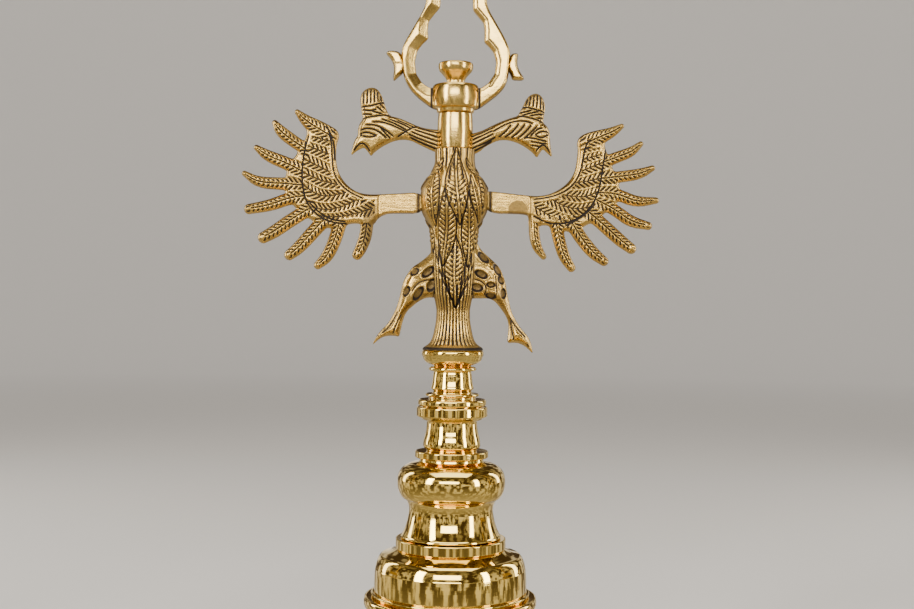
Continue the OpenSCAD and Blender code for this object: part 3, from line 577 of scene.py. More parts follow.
# Leaves from the lowest to the highest in the overlap: x, height, half width.
leaves = [
    [(0.8, 231, 0.3), (0.4, 222, 4.2), (0.3, 214, 5.3), (0.6, 206, 3.4), (1.2, 197.6, 0.2)],
    [(-8.6, 266, 0.3), (-9.6, 259, 3.2), (-10.8, 250, 4.4), (-10, 243, 3), (-9, 236, 0.4)],
    [(10, 266, 0.3), (12.2, 259, 2.5), (14.2, 251, 2.8), (13.5, 242, 0.4)],
    [(8, 260, 0.3), (9, 253, 2.2), (10.6, 246, 2.6), (11.6, 238, 0.4)],
    [(-3.2, 257, 0.3), (-3.6, 246, 3.2), (-3.2, 236, 4.9), (-3.9, 227, 4.1), (-5.2, 217.3, 0.3)],
    [(6.6, 252, 0.3), (7, 241, 2.8), (7, 232, 4.2), (6.9, 225, 3), (6.8, 217, 0.3)],
    [(0.9, 273, 0.3), (0.5, 265, 3), (0.9, 257, 5.8), (1.5, 250, 5.4), (2.3, 243.5, 3), (2.9, 236.6, 0.3)],
    [(22, 240, 0.3), (21, 230, 3.4), (20, 221, 0.4)], [(24, 268, 0.3), (23, 260, 3.4), (25, 253, 0.4)],
    [(-22, 240, 0.3), (-21, 230, 3.4), (-20, 221, 0.4)], [(-24, 268, 0.3), (-23, 260, 3.4), (-25, 253, 0.4)]]
borderLines = [[(-9.6, 230), (-8.6, 223), (-7.3, 216.3), (-5.3, 210.5), (-2.6, 204.8), (1.0, 197.2)],
               [(10.8, 230), (10.2, 223), (9.2, 216.3), (7.4, 210.5), (5, 204.8), (1.5, 197.2)]]


def torso():
    # Radius = silhouette(height) + leaf crowns - engraved lines - flutes, over a grid
    # of height and angle; the leaves lie on the unrolled surface, at front and back.
    look = torsoLook
    base = lowZ("eagle_torso")
    shape = np.array(look["silhouette"])
    rows, turns = look["rows"], look["turns"]
    h = np.linspace(0, 96, rows)
    rawRadius = np.interp(h, shape[:, 0], shape[:, 1])
    kernel = np.hanning(9) / np.hanning(9).sum()
    smooth = np.convolve(np.pad(rawRadius, 4, mode="edge"), kernel, "valid")
    angle = np.arange(turns) * 2 * math.pi / turns
    z = (h + base)[:, None] + 0 * angle
    radius = smooth[:, None] + 0 * angle
    relief = np.zeros(z.shape)
    patina_and_shade = np.zeros(z.shape)
    for turned in (0.0, math.pi):
        a = (angle - turned + math.pi) % (2 * math.pi) - math.pi
        s = radius * a
        near = np.abs(s) < 26.5
        for leaf in leaves:
            path = []
            for x, lz, w in leaf:
                r = float(np.interp(lz - base, h, smooth))
                path.append((x if abs(x) > 15.5 else r * math.asin(max(-0.99, min(0.99, x / r))), lz, w))
            d, along, across, _ = strokeField(s, z, path)
            inside = (d < 0) & near
            rim = np.exp(-(d / 0.36) ** 2) * near
            hatch = barbs(along, across, 2.2, -0.8, 0.36) * (np.abs(across) > 0.8) * (d < -0.6)
            spine = np.exp(-((np.abs(across) - 0.66) / 0.3) ** 2) * (d < -0.3)
            cut = np.maximum(hatch, spine)
            crown = 0.8 * np.clip(-d / 1.2, 0, 1) - 0.75 * cut
            relief = np.where(inside, crown, relief)
            patina_and_shade = np.where(inside, 0.85 * cut, patina_and_shade)
            relief = relief - 0.85 * rim
            patina_and_shade = np.maximum(patina_and_shade, rim)
        for line in borderLines:
            for inward in (1.0, 0.84):
                path = []
                for x, lz in line:
                    r = float(np.interp(lz - base, h, smooth))
                    path.append((r * math.asin(max(-0.98, min(0.98, (x - 1) * inward / r + 1 / r))), lz))
                cut = lineGroove(s, z, path, 0.36) * near
                relief -= 0.7 * cut
                patina_and_shade = np.maximum(patina_and_shade, cut)
    # flutes of the tail and the short lines under the neck
    flute = 0.5 + 0.5 * np.cos(look["flutes"] * angle + 0.3 * np.sin(3 * angle))
    flute = flute ** 1.8 + 0 * z
    tail = np.clip((204 + 24 * np.minimum(1, np.abs(np.sin(angle)) * 1.3) - z) / 3, 0, 1)
    tail = tail * np.clip((h[:, None] - 1.6) / 1.2, 0, 1)
    relief = relief - 0.9 * flute * tail
    patina_and_shade = np.maximum(patina_and_shade, flute * tail)
    neck = np.clip((z - 261.5) / 3, 0, 1) * np.clip(1 - 4 * patina_and_shade, 0, 1)
    lines = (0.5 + 0.5 * np.cos(17 * angle + 1.1)) ** 4
    relief = relief - 0.5 * lines * neck
    patina_and_shade = np.maximum(patina_and_shade, 0.85 * lines * neck)
    patina_and_shade = np.maximum(patina_and_shade, np.exp(-((h[:, None] - 0.8) / 0.9) ** 2) * 0.85)
    # painted shade: the torso's left and right sides, where they fall into shade, are darkened by sideShade
    paintedSideShade = np.clip((np.abs(np.sin(angle)) - 0.72) / 0.28, 0, 1) * look["sideShade"] + 0 * z
    patina_and_shade = np.maximum(patina_and_shade, paintedSideShade)
    r = radius + relief
    pts = np.stack([r * np.sin(angle), -r * np.cos(angle), z], -1)
    bottom, top = pts[:1] * [0, 0, 1], pts[-1:] * [0, 0, 1]
    pts = np.concatenate([bottom, pts, top]).reshape(-1, 3)
    patina_and_shade = np.concatenate([patina_and_shade[:1], patina_and_shade, patina_and_shade[-1:]])
    obj = makeMesh("eagle_torso_cast", pts, gridQuads(rows + 2, turns, False, True), patina_and_shade)
    place(obj, "stand", cast, "cast_brass", "eagle_torso")


torso()
print("torso: done")

wingLook = {"cell": 0.31, "half": 3.0, "rim": 2.0, "cut": 0.85, "pitch": 2.25, "lean": 0.95,
            "barb": 0.43, "barbDepth": 0.9}
leftWing = {
    "palm": [(-14, 252.6), (-29.5, 251.6), (-39, 251.1), (-43.2, 251.3), (-47, 252.3),
             (-50.8, 254.8), (-53.7, 258), (-56, 262.2), (-57, 267), (-57, 272), (-56.4, 277),
             (-56.4, 279.8), (-59, 282.4), (-62, 284.5), (-69, 287.1), (-71.2, 282.6),
             (-71.2, 278.2), (-75.6, 270.6), (-81, 262), (-81.6, 252.2), (-77.6, 245.4),
             (-70.3, 239.6), (-61, 234), (-52, 236.4), (-47.6, 237.2), (-38.4, 236.5),
             (-36.6, 239.6), (-33, 241.6), (-29, 242.1), (-14, 242)],
    "feathers": [
        [(-60, 279, 4.2), (-66, 282.6, 3.9), (-71, 285.6, 3.1), (-75.8, 290.3, 1.3)],
        [(-71, 272, 2.8), (-78, 276.6, 3.0), (-83.6, 280.8, 2.9), (-86.5, 285.0, 1.4)],
        [(-72, 261.2, 3.2), (-80, 265.4, 3.2), (-89.5, 268.9, 2.9), (-95.2, 273.0, 1.4)],
        [(-72, 255, 3), (-82, 255.8, 3.1), (-94, 256.2, 2.8), (-100.9, 260.6, 1.3)],
        [(-71, 250.1, 3), (-79, 248.9, 3.1), (-88, 245.4, 2.9), (-98.4, 243.5, 2.5)],
        [(-67, 245.3, 3.2), (-78, 238.6, 3.3), (-86, 232.8, 3.2), (-91.4, 229.9, 2.8)],
        [(-62, 239, 3.4), (-69, 231.2, 3.4), (-74.5, 225, 3.1), (-78.8, 221.7, 2.6)],
        [(-54.6, 238, 3.4), (-57.2, 228.4, 3.2), (-60.8, 220.8, 3), (-65.1, 216.9, 2.0)],
        [(-41.6, 240, 3), (-42.2, 231.4, 3.1), (-44.6, 225, 2.9), (-46.3, 222.1, 2.5)]],
    "rows": [
        [(-69.7, 278.6), (-60.4, 276.2)], [(-69.4, 273.4), (-61.2, 270.2)],
        [(-71, 266.9), (-61.6, 262.3)], [(-71.4, 260.6), (-64, 257.2), (-57.6, 255.8)],
        [(-71.5, 254.6), (-66.5, 250.8), (-61, 249.6), (-54, 251.2)],
        [(-67.5, 244.4), (-61.5, 243.2), (-55, 244.2), (-48.4, 247.4)],
        [(-64, 240.4), (-57, 239.8), (-49, 241), (-41, 243.6)]],
    "lines": [
        [(-60.4, 281.2), (-58.9, 275), (-58.6, 267), (-57.6, 260.6), (-54.6, 255.8), (-50.5, 252.1),
         (-43.6, 248.9)],
        [(-62, 283.4), (-60.1, 281.4), (-57.8, 275), (-57.4, 267)],
        [(-70, 278.8), (-72.0, 271), (-73, 262), (-72.6, 253), (-70, 245.6), (-65.4, 240.6),
         (-59, 237.4), (-51, 236.7)],
        [(-69.2, 246.6), (-64.4, 241.8), (-58.6, 238.6), (-52, 237.8)]],
    "patch": (-40.4, 244.8, 3.0, 2.6)}
rightWing = {
    "palm": [(14, 253.2), (18, 253.3), (35.5, 251.4), (39.7, 251.2), (44, 251.7), (47.2, 252.9),
             (50.4, 254.6), (53.6, 257), (56.2, 260.3), (57.8, 264), (58.6, 269), (58.9, 274),
             (58.8, 277.6), (60, 279.8), (62.6, 281.5), (66, 282.4), (71, 283), (73, 280),
             (71.4, 276.4), (73.4, 271), (75, 266.5), (79.4, 257), (79, 248.6), (72.6, 243.6),
             (64.5, 237.6), (55, 233.6), (47.6, 236.4), (43.5, 237.4), (36.6, 236), (36.2, 240.6),
             (34.4, 242.5), (14, 242.4)],
    "feathers": [
        [(63, 276.6, 4), (69, 279.6, 3.5), (75, 282, 2.6), (79.9, 285.2, 1.2)],
        [(69.6, 267, 2.8), (77, 269.9, 2.8), (84.6, 272.8, 2.5), (89.1, 276.8, 1.3)],
        [(69, 259.6, 2.8), (79, 260.8, 2.8), (88.6, 262.2, 2.7), (94.8, 265.2, 1.4)],
        [(69, 253, 2.8), (78, 252.6, 2.9), (87, 248.8, 2.8), (96.6, 249.7, 1.6)],
        [(68, 249.6, 2.6), (77.6, 244.6, 2.9), (84.6, 239.4, 2.9), (93.0, 237.5, 2.0)],
        [(64, 244, 3), (72.4, 236.9, 3.2), (79.4, 230.6, 3.1), (85.0, 226.5, 2.6)],
        [(55.4, 240, 3.2), (60.6, 231.6, 3.2), (66.6, 224.3, 3.1), (72.0, 220.3, 2.3)],
        [(48.6, 238.6, 3.2), (50.6, 229.4, 3), (53, 222, 2.8), (56.4, 217, 2.1)],
        [(38.2, 241, 2.5), (38.4, 232.4, 2.6), (39.8, 226.6, 2.4), (43.0, 222.2, 1.5)]],
    "rows": [
        [(72, 275.6), (63, 274)], [(71.6, 271.7), (62.6, 269)], [(70.8, 267.4), (61.4, 263.4)],
        [(70.2, 260), (65, 258.6), (58.6, 257.6)], [(69, 253.6), (62, 250.4), (54, 251.4)],
        [(65.4, 246.2), (59, 244.8), (53, 246), (47.4, 249)],
        [(55.6, 238.6), (49, 240.2), (44, 242.6), (39, 245.6)]],
    "lines": [
        [(65, 278.4), (62.6, 276), (61.4, 270), (60.6, 264.8), (59, 260), (56.2, 256), (52.4, 253),
         (46, 250.6), (37.9, 249.4)],
        [(72.3, 274.6), (71, 267), (69.9, 259), (68.4, 251.6), (64.6, 245), (59, 240.4), (52, 237.6),
         (44, 238.2), (37.8, 241.6)],
        [(67, 247.2), (62, 241.9), (57.4, 239), (53, 236.8)]],
    "patch": (30.4, 244.4, 4.8, 4.4)}


def wing(name, node, look, side):
    # The outline is the palm joined to nine tapering feathers by a soft minimum, and
    # the relief is a pillow with herringbone cuts along each feather and covert row.
    own = wingLook
    palm = chaikin(look["palm"], 2)

    def field(x, z):
        parts = [polygonField(x, z, palm)]
        parts += [strokeField(x, z, f)[0] for f in look["feathers"]]
        k = 0.45
        stack = np.stack(parts)
        least = stack.min(0)
        return least - k * np.log(np.exp(-(stack - least) / k).sum(0))

    def nearestMarks(x, z, paths, limit, pitch, lean, gap, lineWidth):
        # Barbs and spine of whichever path is nearest, with a plain band between
        # neighbours where the second nearest is almost as near.
        best, second = np.full(x.shape, 1e9), np.full(x.shape, 1e9)
        marks = np.zeros(x.shape)
        for path in paths:
            far, along, across, run = strokeField(x, z, path)
            mine = far < best
            second = np.where(mine, best, np.minimum(second, far))
            best = np.where(mine, far, best)
            strokes = barbs(along, across, pitch, lean, own["barb"])
            strokes *= np.clip((np.abs(across) - gap) / 0.3, 0, 1)
            strokes *= np.clip((limit - np.abs(across)) / 0.5, 0, 1)
            line = np.exp(-(across / lineWidth) ** 2) * (along < run - 1.2)
            marks = np.where(mine, np.maximum(strokes * own["barbDepth"], line), marks)
        plain = np.clip((0.5 * (second - best) - 0.2) / 0.3, 0, 1)
        return marks * plain

    def heightOf(x, z, d):
        flatBar = np.abs(x) < 36
        rim = np.where(flatBar, 0.9, own["rim"])
        height = pillow(d, rim, own["half"] + 0.2 * flatBar)
        palmD = polygonField(x, z, palm)
        arcLine = look["lines"][2 if side < 0 else 1]
        hatch = nearestMarks(x, z, look["feathers"], 3.6, own["pitch"], own["lean"], 0.5, 0.3)
        hatch *= np.clip((-d - 0.7) / 0.35, 0, 1)
        inner = lineInside(x, z, arcLine)
        rows = []
        for row in look["rows"]:
            (ax, az), (bx, bz) = row[-2:]
            stretch = 3.5 / math.hypot(bx - ax, bz - az)
            tip = (bx + (bx - ax) * stretch, bz + (bz - az) * stretch)
            rows.append([(p[0], p[1], 0.0) for p in row + [tip]])
        coverts = nearestMarks(x, z, rows, 3.6, 2.3, -0.95, 0.15, 0.24)
        hatch = np.where(inner, coverts * np.clip((-palmD - 2.9) / 0.4, 0, 1), hatch)
        hatch = hatch * (np.abs(x) > 38)
        cut = hatch
        for line in look["lines"]:
            cut = np.maximum(cut, lineGroove(x, z, line, 0.42))
        px, pz, pw, ph = look["patch"]
        across, up = (x - px) / pw, np.maximum((z - pz) / ph, 0)
        patch = np.clip(1.6 - np.hypot(across, up) ** 6, 0, 1) * 0.4
        seam = np.exp(-((np.abs(x) - 17.2) / 1.2) ** 2) * 0.6
        seam = np.maximum(seam, np.exp(-((np.abs(x) - 36.3) / 0.5) ** 2) * 0.45)
        height = height - own["cut"] * cut * np.clip(-d / 0.6, 0, 1)
        height = height - 0.25 * np.exp(-((np.abs(x) - 36.3) / 0.5) ** 2)
        return height, np.clip(np.maximum(np.maximum(cut, patch), seam), 0, 1)

    xs = [p[0] for p in look["palm"]] + [p[0] for f in look["feathers"] for p in f]
    zs = [p[1] for p in look["palm"]] + [p[1] for f in look["feathers"] for p in f]
    obj = plate(name, field, min(xs) - 4, min(zs) - 4, max(xs) + 4, max(zs) + 4, own["cell"], heightOf)
    place(obj, "stand", cast, "cast_brass", node)


def lineInside(x, z, line):
    # True on the body's side of the arc that parts the coverts from the feathers.
    p = chaikin(line, 2, closed=False)
    order = np.argsort(p[:, 1])
    limit = np.interp(z, p[order, 1], np.abs(p[order, 0]))
    low, high = p[:, 1].min(), p[:, 1].max()
    return (np.abs(x) < limit) & (z > low + 0.4) & (z < high + 0.16 * (np.abs(x) - 70))


wing("left_wing_cast", "left_wing", leftWing, -1)
wing("right_wing_cast", "right_wing", rightWing, 1)
print("wings: done")

leftHead = {
    "outline": [(-44.2, 287.4), (-45, 290.4), (-45.3, 293.4), (-45.8, 297), (-44.8, 300.2),
                (-42.3, 302.1), (-39.6, 302.5), (-37.4, 301.6), (-35.4, 298.7), (-34.2, 295.4),
                (-33.1, 291.9), (-31.6, 288.9), (-27, 288), (-22.2, 286), (-17.4, 283.9),
                (-12.6, 282.8), (-6, 282.4), (-6, 270.8), (-10.1, 271.9), (-13.7, 273.6),
                (-17.4, 275.3), (-21, 277.1), (-25.2, 277.6), (-30, 276.6), (-34.8, 274.1),
                (-38.6, 271.3), (-40.3, 269.2), (-41.6, 271.4), (-43.4, 273.5), (-45.2, 272.9),
                (-47.4, 271.6), (-50, 269.4), (-49.1, 274), (-48.2, 277), (-46.6, 279.5),
                (-46.7, 281.9), (-46, 284.8)],
    "lines": [
        [(-43.9, 300.4), (-43.9, 294)], [(-42.1, 301.4), (-42.2, 294)], [(-40.4, 301.6), (-40.4, 294.4)],
        [(-38.8, 301.2), (-38.6, 294.8)], [(-37.3, 300.2), (-36.9, 295)], [(-36, 298.4), (-35.5, 295.4)],
        [(-45.2, 292.8), (-40, 293), (-34, 295.2)], [(-44.6, 291.4), (-40.5, 290.6), (-37.5, 291.6)],
        [(-44.4, 289.4), (-39.6, 288.9)], [(-37.6, 292.8), (-34.2, 290.4)], [(-36, 294.2), (-33.9, 292.4)],
        [(-39.8, 290.6), (-35, 289.4)], [(-44.4, 287.2), (-38, 288.3), (-31.6, 289.1)],
        [(-39.5, 285.4), (-34, 285.5), (-27, 282.7), (-22.6, 280.4)],
        [(-42.8, 284), (-38, 284.1), (-33, 281.6), (-29.4, 278.6)],
        [(-45.3, 281.4), (-42.5, 282.5), (-38.2, 281.9), (-34.6, 279.6), (-32.6, 277.8)],
        [(-31.5, 287), (-25, 284.6), (-20.6, 282.3)], [(-35, 286.8), (-29, 285), (-23.4, 281.8)],
        [(-35.6, 282.9), (-33, 280), (-31, 277.6)], [(-27.6, 286.6), (-22.6, 284.6), (-19, 283)],
        [(-45.4, 279.7), (-42.4, 280.7), (-38.8, 279.5), (-37.4, 279)],
        [(-45.3, 279.2), (-42.2, 278.1), (-39.2, 278.4), (-37.4, 279)],
        [(-18, 284.2), (-22.4, 281.8), (-27.4, 278.6)],
        [(-17.6, 283.2), (-8, 280.6)], [(-19.4, 282), (-8, 278.4)], [(-21, 281), (-15, 278.6), (-8, 276.4)],
        [(-22.4, 279.9), (-15, 276.8), (-8, 274.4)], [(-21.4, 278.4), (-15, 275.4), (-8, 272.6)],
        [(-48.6, 271.8), (-46.4, 274.4), (-44.4, 275.6), (-42.4, 274.4), (-40.6, 271.6)]]}
rightHead = {
    "outline": [(42, 286.6), (42.5, 289), (43.1, 292.6), (42.9, 295.6), (41.8, 298.5), (40, 300.1),
                (38, 300.5), (35.4, 299.4), (33.5, 296.9), (32.3, 294), (30.8, 291.3), (29.8, 289.4),
                (27, 288.7), (23.4, 287.4), (19.8, 285.8), (16.2, 284), (12.6, 282.1), (6, 280.3),
                (6, 269.8), (11.6, 271.8), (14, 274.2), (17, 276), (20.6, 277.6), (24.2, 277.9),
                (27.2, 277.4), (30.8, 276.2), (34.4, 274.1), (37.4, 271.8), (39.3, 269.3),
                (40.7, 271.7), (42.1, 273.8), (44.2, 271.8), (46.8, 269.6), (45.9, 274.6),
                (45.5, 278.8), (45.3, 281.8), (44.4, 284.4)],
    "lines": [
        [(34.6, 297.6), (33.6, 294.2)], [(36, 299), (35.2, 293.8)], [(37.6, 299.6), (37, 293.4)],
        [(39.2, 299.5), (38.8, 292.9)], [(40.7, 298.6), (40.6, 292.4)], [(41.9, 296.6), (42.1, 292)],
        [(31.8, 293.8), (36, 292.8), (42.8, 291)], [(31, 291.2), (33.4, 290.9), (36.6, 292)],
        [(31.8, 289.4), (36.5, 290.6), (39.8, 291.2)], [(35.6, 289.2), (39.6, 289.8), (42.4, 290.2)],
        [(39, 288), (42, 288.2)], [(30, 289.3), (35, 288.4), (42, 286.3)],
        [(18, 281.4), (23, 284.6), (28.4, 286.7), (34, 286.6), (37, 285.4)],
        [(20.8, 278.9), (24, 281.3), (26.7, 285)], [(23.8, 278.9), (27.4, 281.3), (30.4, 285.4)],
        [(26.8, 278.6), (30.4, 281.3), (33.4, 285.2)], [(29.8, 278.1), (33.4, 281.2), (36.4, 284.9)],
        [(32.9, 278.1), (36, 281), (39.3, 284.4)], [(35.8, 279.4), (39, 282.8), (42, 283.6)],
        [(38.2, 280), (41, 281.9), (44.9, 281.5)], [(38.2, 280), (41.4, 278.4), (44.9, 280.7)],
        [(33.6, 278.9), (38.4, 278.3), (43.8, 277)], [(36, 276.9), (40.4, 276.2), (44, 275.9)],
        [(36.2, 275.2), (40.2, 274.6)],
        [(18.4, 283.6), (8, 279)], [(18, 282), (8, 277.2)], [(18.4, 280.4), (8, 275.2)],
        [(19.4, 279), (14, 275.9), (8, 273.2)], [(17.6, 277.2), (12, 273.6), (8, 271.6)],
        [(38.6, 272.2), (40.8, 275), (42.6, 275.5), (44.4, 273.6), (45.6, 271.8)]]}
headLook = {"cell": 0.24, "half": 3.2, "rim": 2.6, "cut": 0.75, "line": 0.42}


def head(name, node, look):
    # A pillow over the outline with a bell-shaped groove along each engraved line.
    own = headLook
    outline = chaikin(look["outline"], 1)

    def heightOf(x, z, d):
        cut = np.zeros(x.shape)
        for line in look["lines"]:
            cut = np.maximum(cut, lineGroove(x, z, line, own["line"]))
        height = pillow(d, own["rim"], own["half"]) + 0.5 * np.clip(-d / 5, 0, 1)
        height = height - own["cut"] * cut * np.clip(-d / 0.5, 0, 1)
        return height, cut

    obj = outlinePlate(name, outline, np.array(look["outline"]), own["cell"], heightOf)
    place(obj, "stand", cast, "cast_brass", node)


head("left_head_cast", "left_head", leftHead)
head("right_head_cast", "right_head", rightHead)
print("heads: done")

leftLeg = {
    "outline": [(-4, 231), (-8.6, 228.6), (-10.6, 224), (-13.4, 221), (-17, 218.3), (-19.4, 216.8),
                (-21.7, 214), (-23.8, 210.4), (-24.9, 206.2), (-25.8, 202), (-26.9, 197.8), (-29, 193),
                (-31.6, 188.8), (-34.6, 186), (-37, 182.7), (-38.8, 178.6), (-36.3, 181),
                (-34.3, 182.5), (-31.6, 183.4), (-28, 183.5), (-25.7, 182.8), (-25, 186.5),
                (-23.9, 191.3), (-22.4, 195), (-19.7, 197.5), (-16.8, 200), (-13.2, 201.9),
                (-9, 202), (-4, 202)],
    "pits": [(-18.6, 214.2, 2.0, 1.3, 35), (-12.2, 214.2, 3.1, 1.5, 40), (-10.4, 208, 2.9, 1.7, 60),
             (-16.8, 203.9, 3.2, 1.4, 55), (-22.4, 204.8, 2.2, 1.2, 65)],
    "lines": [[(-9.4, 210.4), (-13.4, 210.3), (-17.4, 208.6), (-19.8, 204.6)],
              [(-26.4, 195), (-29.6, 188.6), (-34, 184.6)], [(-24.6, 194), (-27.6, 188), (-28.6, 184.6)],
              [(-35.4, 182.9), (-36.4, 184.2)]]}
rightLeg = {
    "outline": [(4, 232.5), (9.4, 231.4), (11.5, 228), (12.8, 225.6), (14.4, 223.9), (16.5, 222),
                (19.5, 219.4), (22, 216.8), (23.8, 213.2), (25.1, 209), (25.8, 204.3), (26.8, 200.1),
                (28, 195.3), (30.2, 191.2), (32.6, 187.6), (35.4, 184.6), (37.3, 181.5), (38.7, 175.4),
                (37, 176.9), (35.2, 178.7), (32.2, 180.4), (29.2, 180.8), (25.8, 180.4),
                (26.6, 185.7), (26.6, 189.9), (25.4, 193.4), (22.9, 197), (19.9, 200.6), (16.9, 202),
                (12, 201.7), (4, 201.7)],
    "pits": [(14.2, 221.4, 2.9, 1.4, -45), (13.2, 213.3, 2.8, 1.4, -25), (20.9, 215.5, 2.7, 1.1, -62),
             (22.7, 210.6, 1.8, 1.1, -65), (11.2, 207, 2.5, 1.6, -10), (17.8, 208.4, 1.8, 1.1, -5),
             (17.9, 203.2, 2.2, 1.2, -10), (23.8, 204.2, 2.1, 1.1, 90)],
    "lines": [[(9.8, 211), (14, 209.8), (16, 206.4), (14.6, 203.4)],
              [(27, 193), (30, 188.2), (34.6, 183.4)], [(27.4, 192), (28.2, 186.4), (29, 182)],
              [(36.2, 178.8), (35.6, 180.6)], [(20, 213), (20.4, 209), (20.8, 203.6)]]}
legLook = {"cell": 0.34, "half": 4.6, "rim": 4.6}


def leg(name, node, look):
    # A pillow with lens-shaped pits: each pit is a bell in its own turned ellipse.
    own = legLook
    outline = chaikin(look["outline"], 2)

    def heightOf(x, z, d):
        height = pillow(d, own["rim"], own["half"], 2.2)
        shade = np.zeros(x.shape)
        for px, pz, a, b, turn in look["pits"]:
            a, b = 1.12 * a, 1.22 * b
            c, s = math.cos(math.radians(turn)), math.sin(math.radians(turn))
            u = ((x - px) * c + (z - pz) * s) / a
            v = (-(x - px) * s + (z - pz) * c) / b
            reach = np.hypot(u, v)
            pit = np.clip((1.12 - reach) / 0.35, 0, 1)
            ring = np.exp(-((reach - 1.28) / 0.22) ** 2)
            height = height - 1.3 * pit * (1.25 - 0.4 * reach.clip(0, 1)) + 0.22 * ring
            # painted shade: each pit's rim is darkened more on one side than the other, as if that side were
            # shaded; the 0.47 in the pit itself is patina in the hollow
            edge = np.exp(-((reach - 0.88) / 0.32) ** 2) * np.clip(0.9 - 0.45 * v, 0, 1)
            shade = np.maximum(shade, np.maximum(0.47 * pit, 0.95 * edge))
        for line in look["lines"]:
            cut = lineGroove(x, z, line, 0.42)
            height = height - 0.5 * cut
            shade = np.maximum(shade, 0.8 * cut)
        # painted shade: each leg is darkened where it runs in under the torso, within 11 mm of the middle
        shade = np.maximum(shade, 0.8 * np.clip((11 - np.abs(x)) / 2.5, 0, 1))
        return height, shade

    obj = outlinePlate(name, outline, np.array(look["outline"]), own["cell"], heightOf)
    place(obj, "stand", cast, "cast_brass", node)


leg("left_leg_cast", "left_leg", leftLeg)
leg("right_leg_cast", "right_leg", rightLeg)
print("legs: done")

def neckPieces():
    # Three outlines carried round Z: the ferrule, the knob and the barrel collar.
    z = lowZ("neck_ferrule")
    ferrule = [(4.1, 0, 0.1), (7.6, 0, 0.4)] + arc((8.0, 0.5), (8.9, 8.7), (8.2, 17), 12)
    ferrule += [(7.8, 17.4, 0.3), (4.1, 17.4, 0.1)]
    place(lathe("neck_ferrule_turned", ferrule, z, wobble=0.06), "stand", lyreBrass,
          "polished_brass", "neck_ferrule")
    z = lowZ("finial_knob")
    knob = [(0.01, 0, 0.1), (4.4, 0, 0.3)] + arc((4.3, 1.8), (5.2, 3.9), (7, 5.5), 8)
    knob += [(8.1, 6.8, 0.6), (8.4, 8.6, 0.8), (8.3, 10, 0.6), (7.5, 10.6, 0.4), (6.4, 10.4, 0.4),
             (5, 9.2, 0.8), (0.01, 9, 0.1)]
    place(lathe("finial_knob_turned", knob, z, wobble=0.05), "stand", lyreBrass,
          "polished_brass", "finial_knob")
    z = lowZ("lyre_collar")
    collar = [(4.06, 0, 0.1), (8.5, 0, 0.3), (8.9, 0.3, 0.2), (9.2, 1.8, 0.2), (10.5, 2.3, 0.3)]
    collar += arc((10.9, 3), (11.9, 7.8), (11.1, 12.1), 14)
    collar += [(10.7, 13.1, 0.4), (9.9, 13.5, 0.4), (4.06, 13.5, 0.1)]
    place(lathe("lyre_collar_cast", collar, z, wobble=0.08), "lyre", lyreBrass,
          "cast_brass", "lyre_collar")


neckPieces()

lyreTop = highZ("lyre_left_arm")
rightArm = {
    "inner": [(7.7, lyreTop), (7.7, 346), (7.9, 339.8), (10.6, 336.6), (13.0, 333.8), (13.5, 330),
              (13.4, 324.6), (15.8, 322.4), (18.0, 319.6), (19.2, 315), (18.6, 309.6), (15.6, 305),
              (12.4, 302.7), (8.5, 302.3)],
    "outer": [(8.5, 291.8), (11.5, 292.6), (16, 296), (20.2, 299.3), (23.2, 302.5), (24.9, 306.4),
              (25.7, 312), (26.3, 319.6), (24.6, 324.5), (20.1, 332.5), (15.2, 340.6), (14.3, 346),
              (14.3, lyreTop)],
    "bevel": (1.9, 1.1), "groove": 2.1}
leftArm = {
    "inner": [(-7.7, lyreTop), (-7.6, 346), (-7.8, 341), (-10.8, 337.4), (-13.2, 334.2), (-13.7, 330),
              (-13.3, 326), (-16.2, 323.2), (-18.5, 320), (-19.6, 315), (-19, 309.4), (-16.2, 305),
              (-12.8, 302.7), (-8.5, 302.3)],
    "outer": [(-8.5, 291.8), (-11.3, 292.6), (-14.6, 294.9), (-18.6, 298), (-22, 301.6),
              (-24.8, 306.8), (-25.8, 312.6), (-26.4, 319.8), (-24.6, 324.5), (-20, 332.5),
              (-15.4, 340.4), (-14.3, 346), (-14.3, lyreTop)],
    "bevel": (4.4, 2.0), "groove": 0.0}
lyreShape = {"cell": 0.36, "half": 3.5}


def openDistance(x, z, points):
    # Least distance to an open chain of straight pieces.
    return strokeField(x, z, [(p[0], p[1], 0.0) for p in points], 0)[0]


def lyreArm(name, node, look):
    # A flat bar whose inner and outer edges are planed to bevels of their own widths.
    own = lyreShape
    inner = np.array(look["inner"], float)
    outer = chaikin(look["outer"], 2, closed=False)
    outline = rounded([tuple(p) for p in np.vstack([inner, outer])], 0.8, 3)

    def heightOf(x, z, d):
        toInner = openDistance(x, z, inner)
        toOuter = openDistance(x, z, outer)
        width, drop = look["bevel"]
        height = own["half"] - drop * np.clip(1 - toInner / width, 0, 1)
        height = height - 1.3 * np.clip(1 - toOuter / 1.1, 0, 1) ** 1.3
        height = height + 0.14 * np.clip(toOuter / 3.5, 0, 1)
        shade = np.zeros(x.shape)
        if look["groove"]:
            cut = np.exp(-((toInner - look["groove"]) / 0.3) ** 2) * (z > 303)
            height = height - 0.3 * cut
            shade = 0.7 * cut
        else:
            ridge = np.exp(-((toInner - width) / 0.6) ** 2) * (z < 322)
            shade = 0.35 * ridge
        shade = np.maximum(shade, 0.75 * np.exp(-((np.abs(x) - 11.4) / 0.7) ** 2) * (z < 305))
        # painted shade: the outer edge face, turned away from the light, is darkened within 0.7 mm of the
        # outer outline
        shade = np.maximum(shade, 0.5 * np.clip(1 - toOuter / 0.7, 0, 1))
        return height * np.clip(-d / 0.3, 0, 1) ** 0.5, shade

    obj = outlinePlate(name, outline, outline, own["cell"], heightOf)
    place(obj, "lyre", lyreBrass, "cast_brass", node)


lyreArm("lyre_left_arm_cast", "lyre_left_arm", leftArm)
lyreArm("lyre_right_arm_cast", "lyre_right_arm", rightArm)

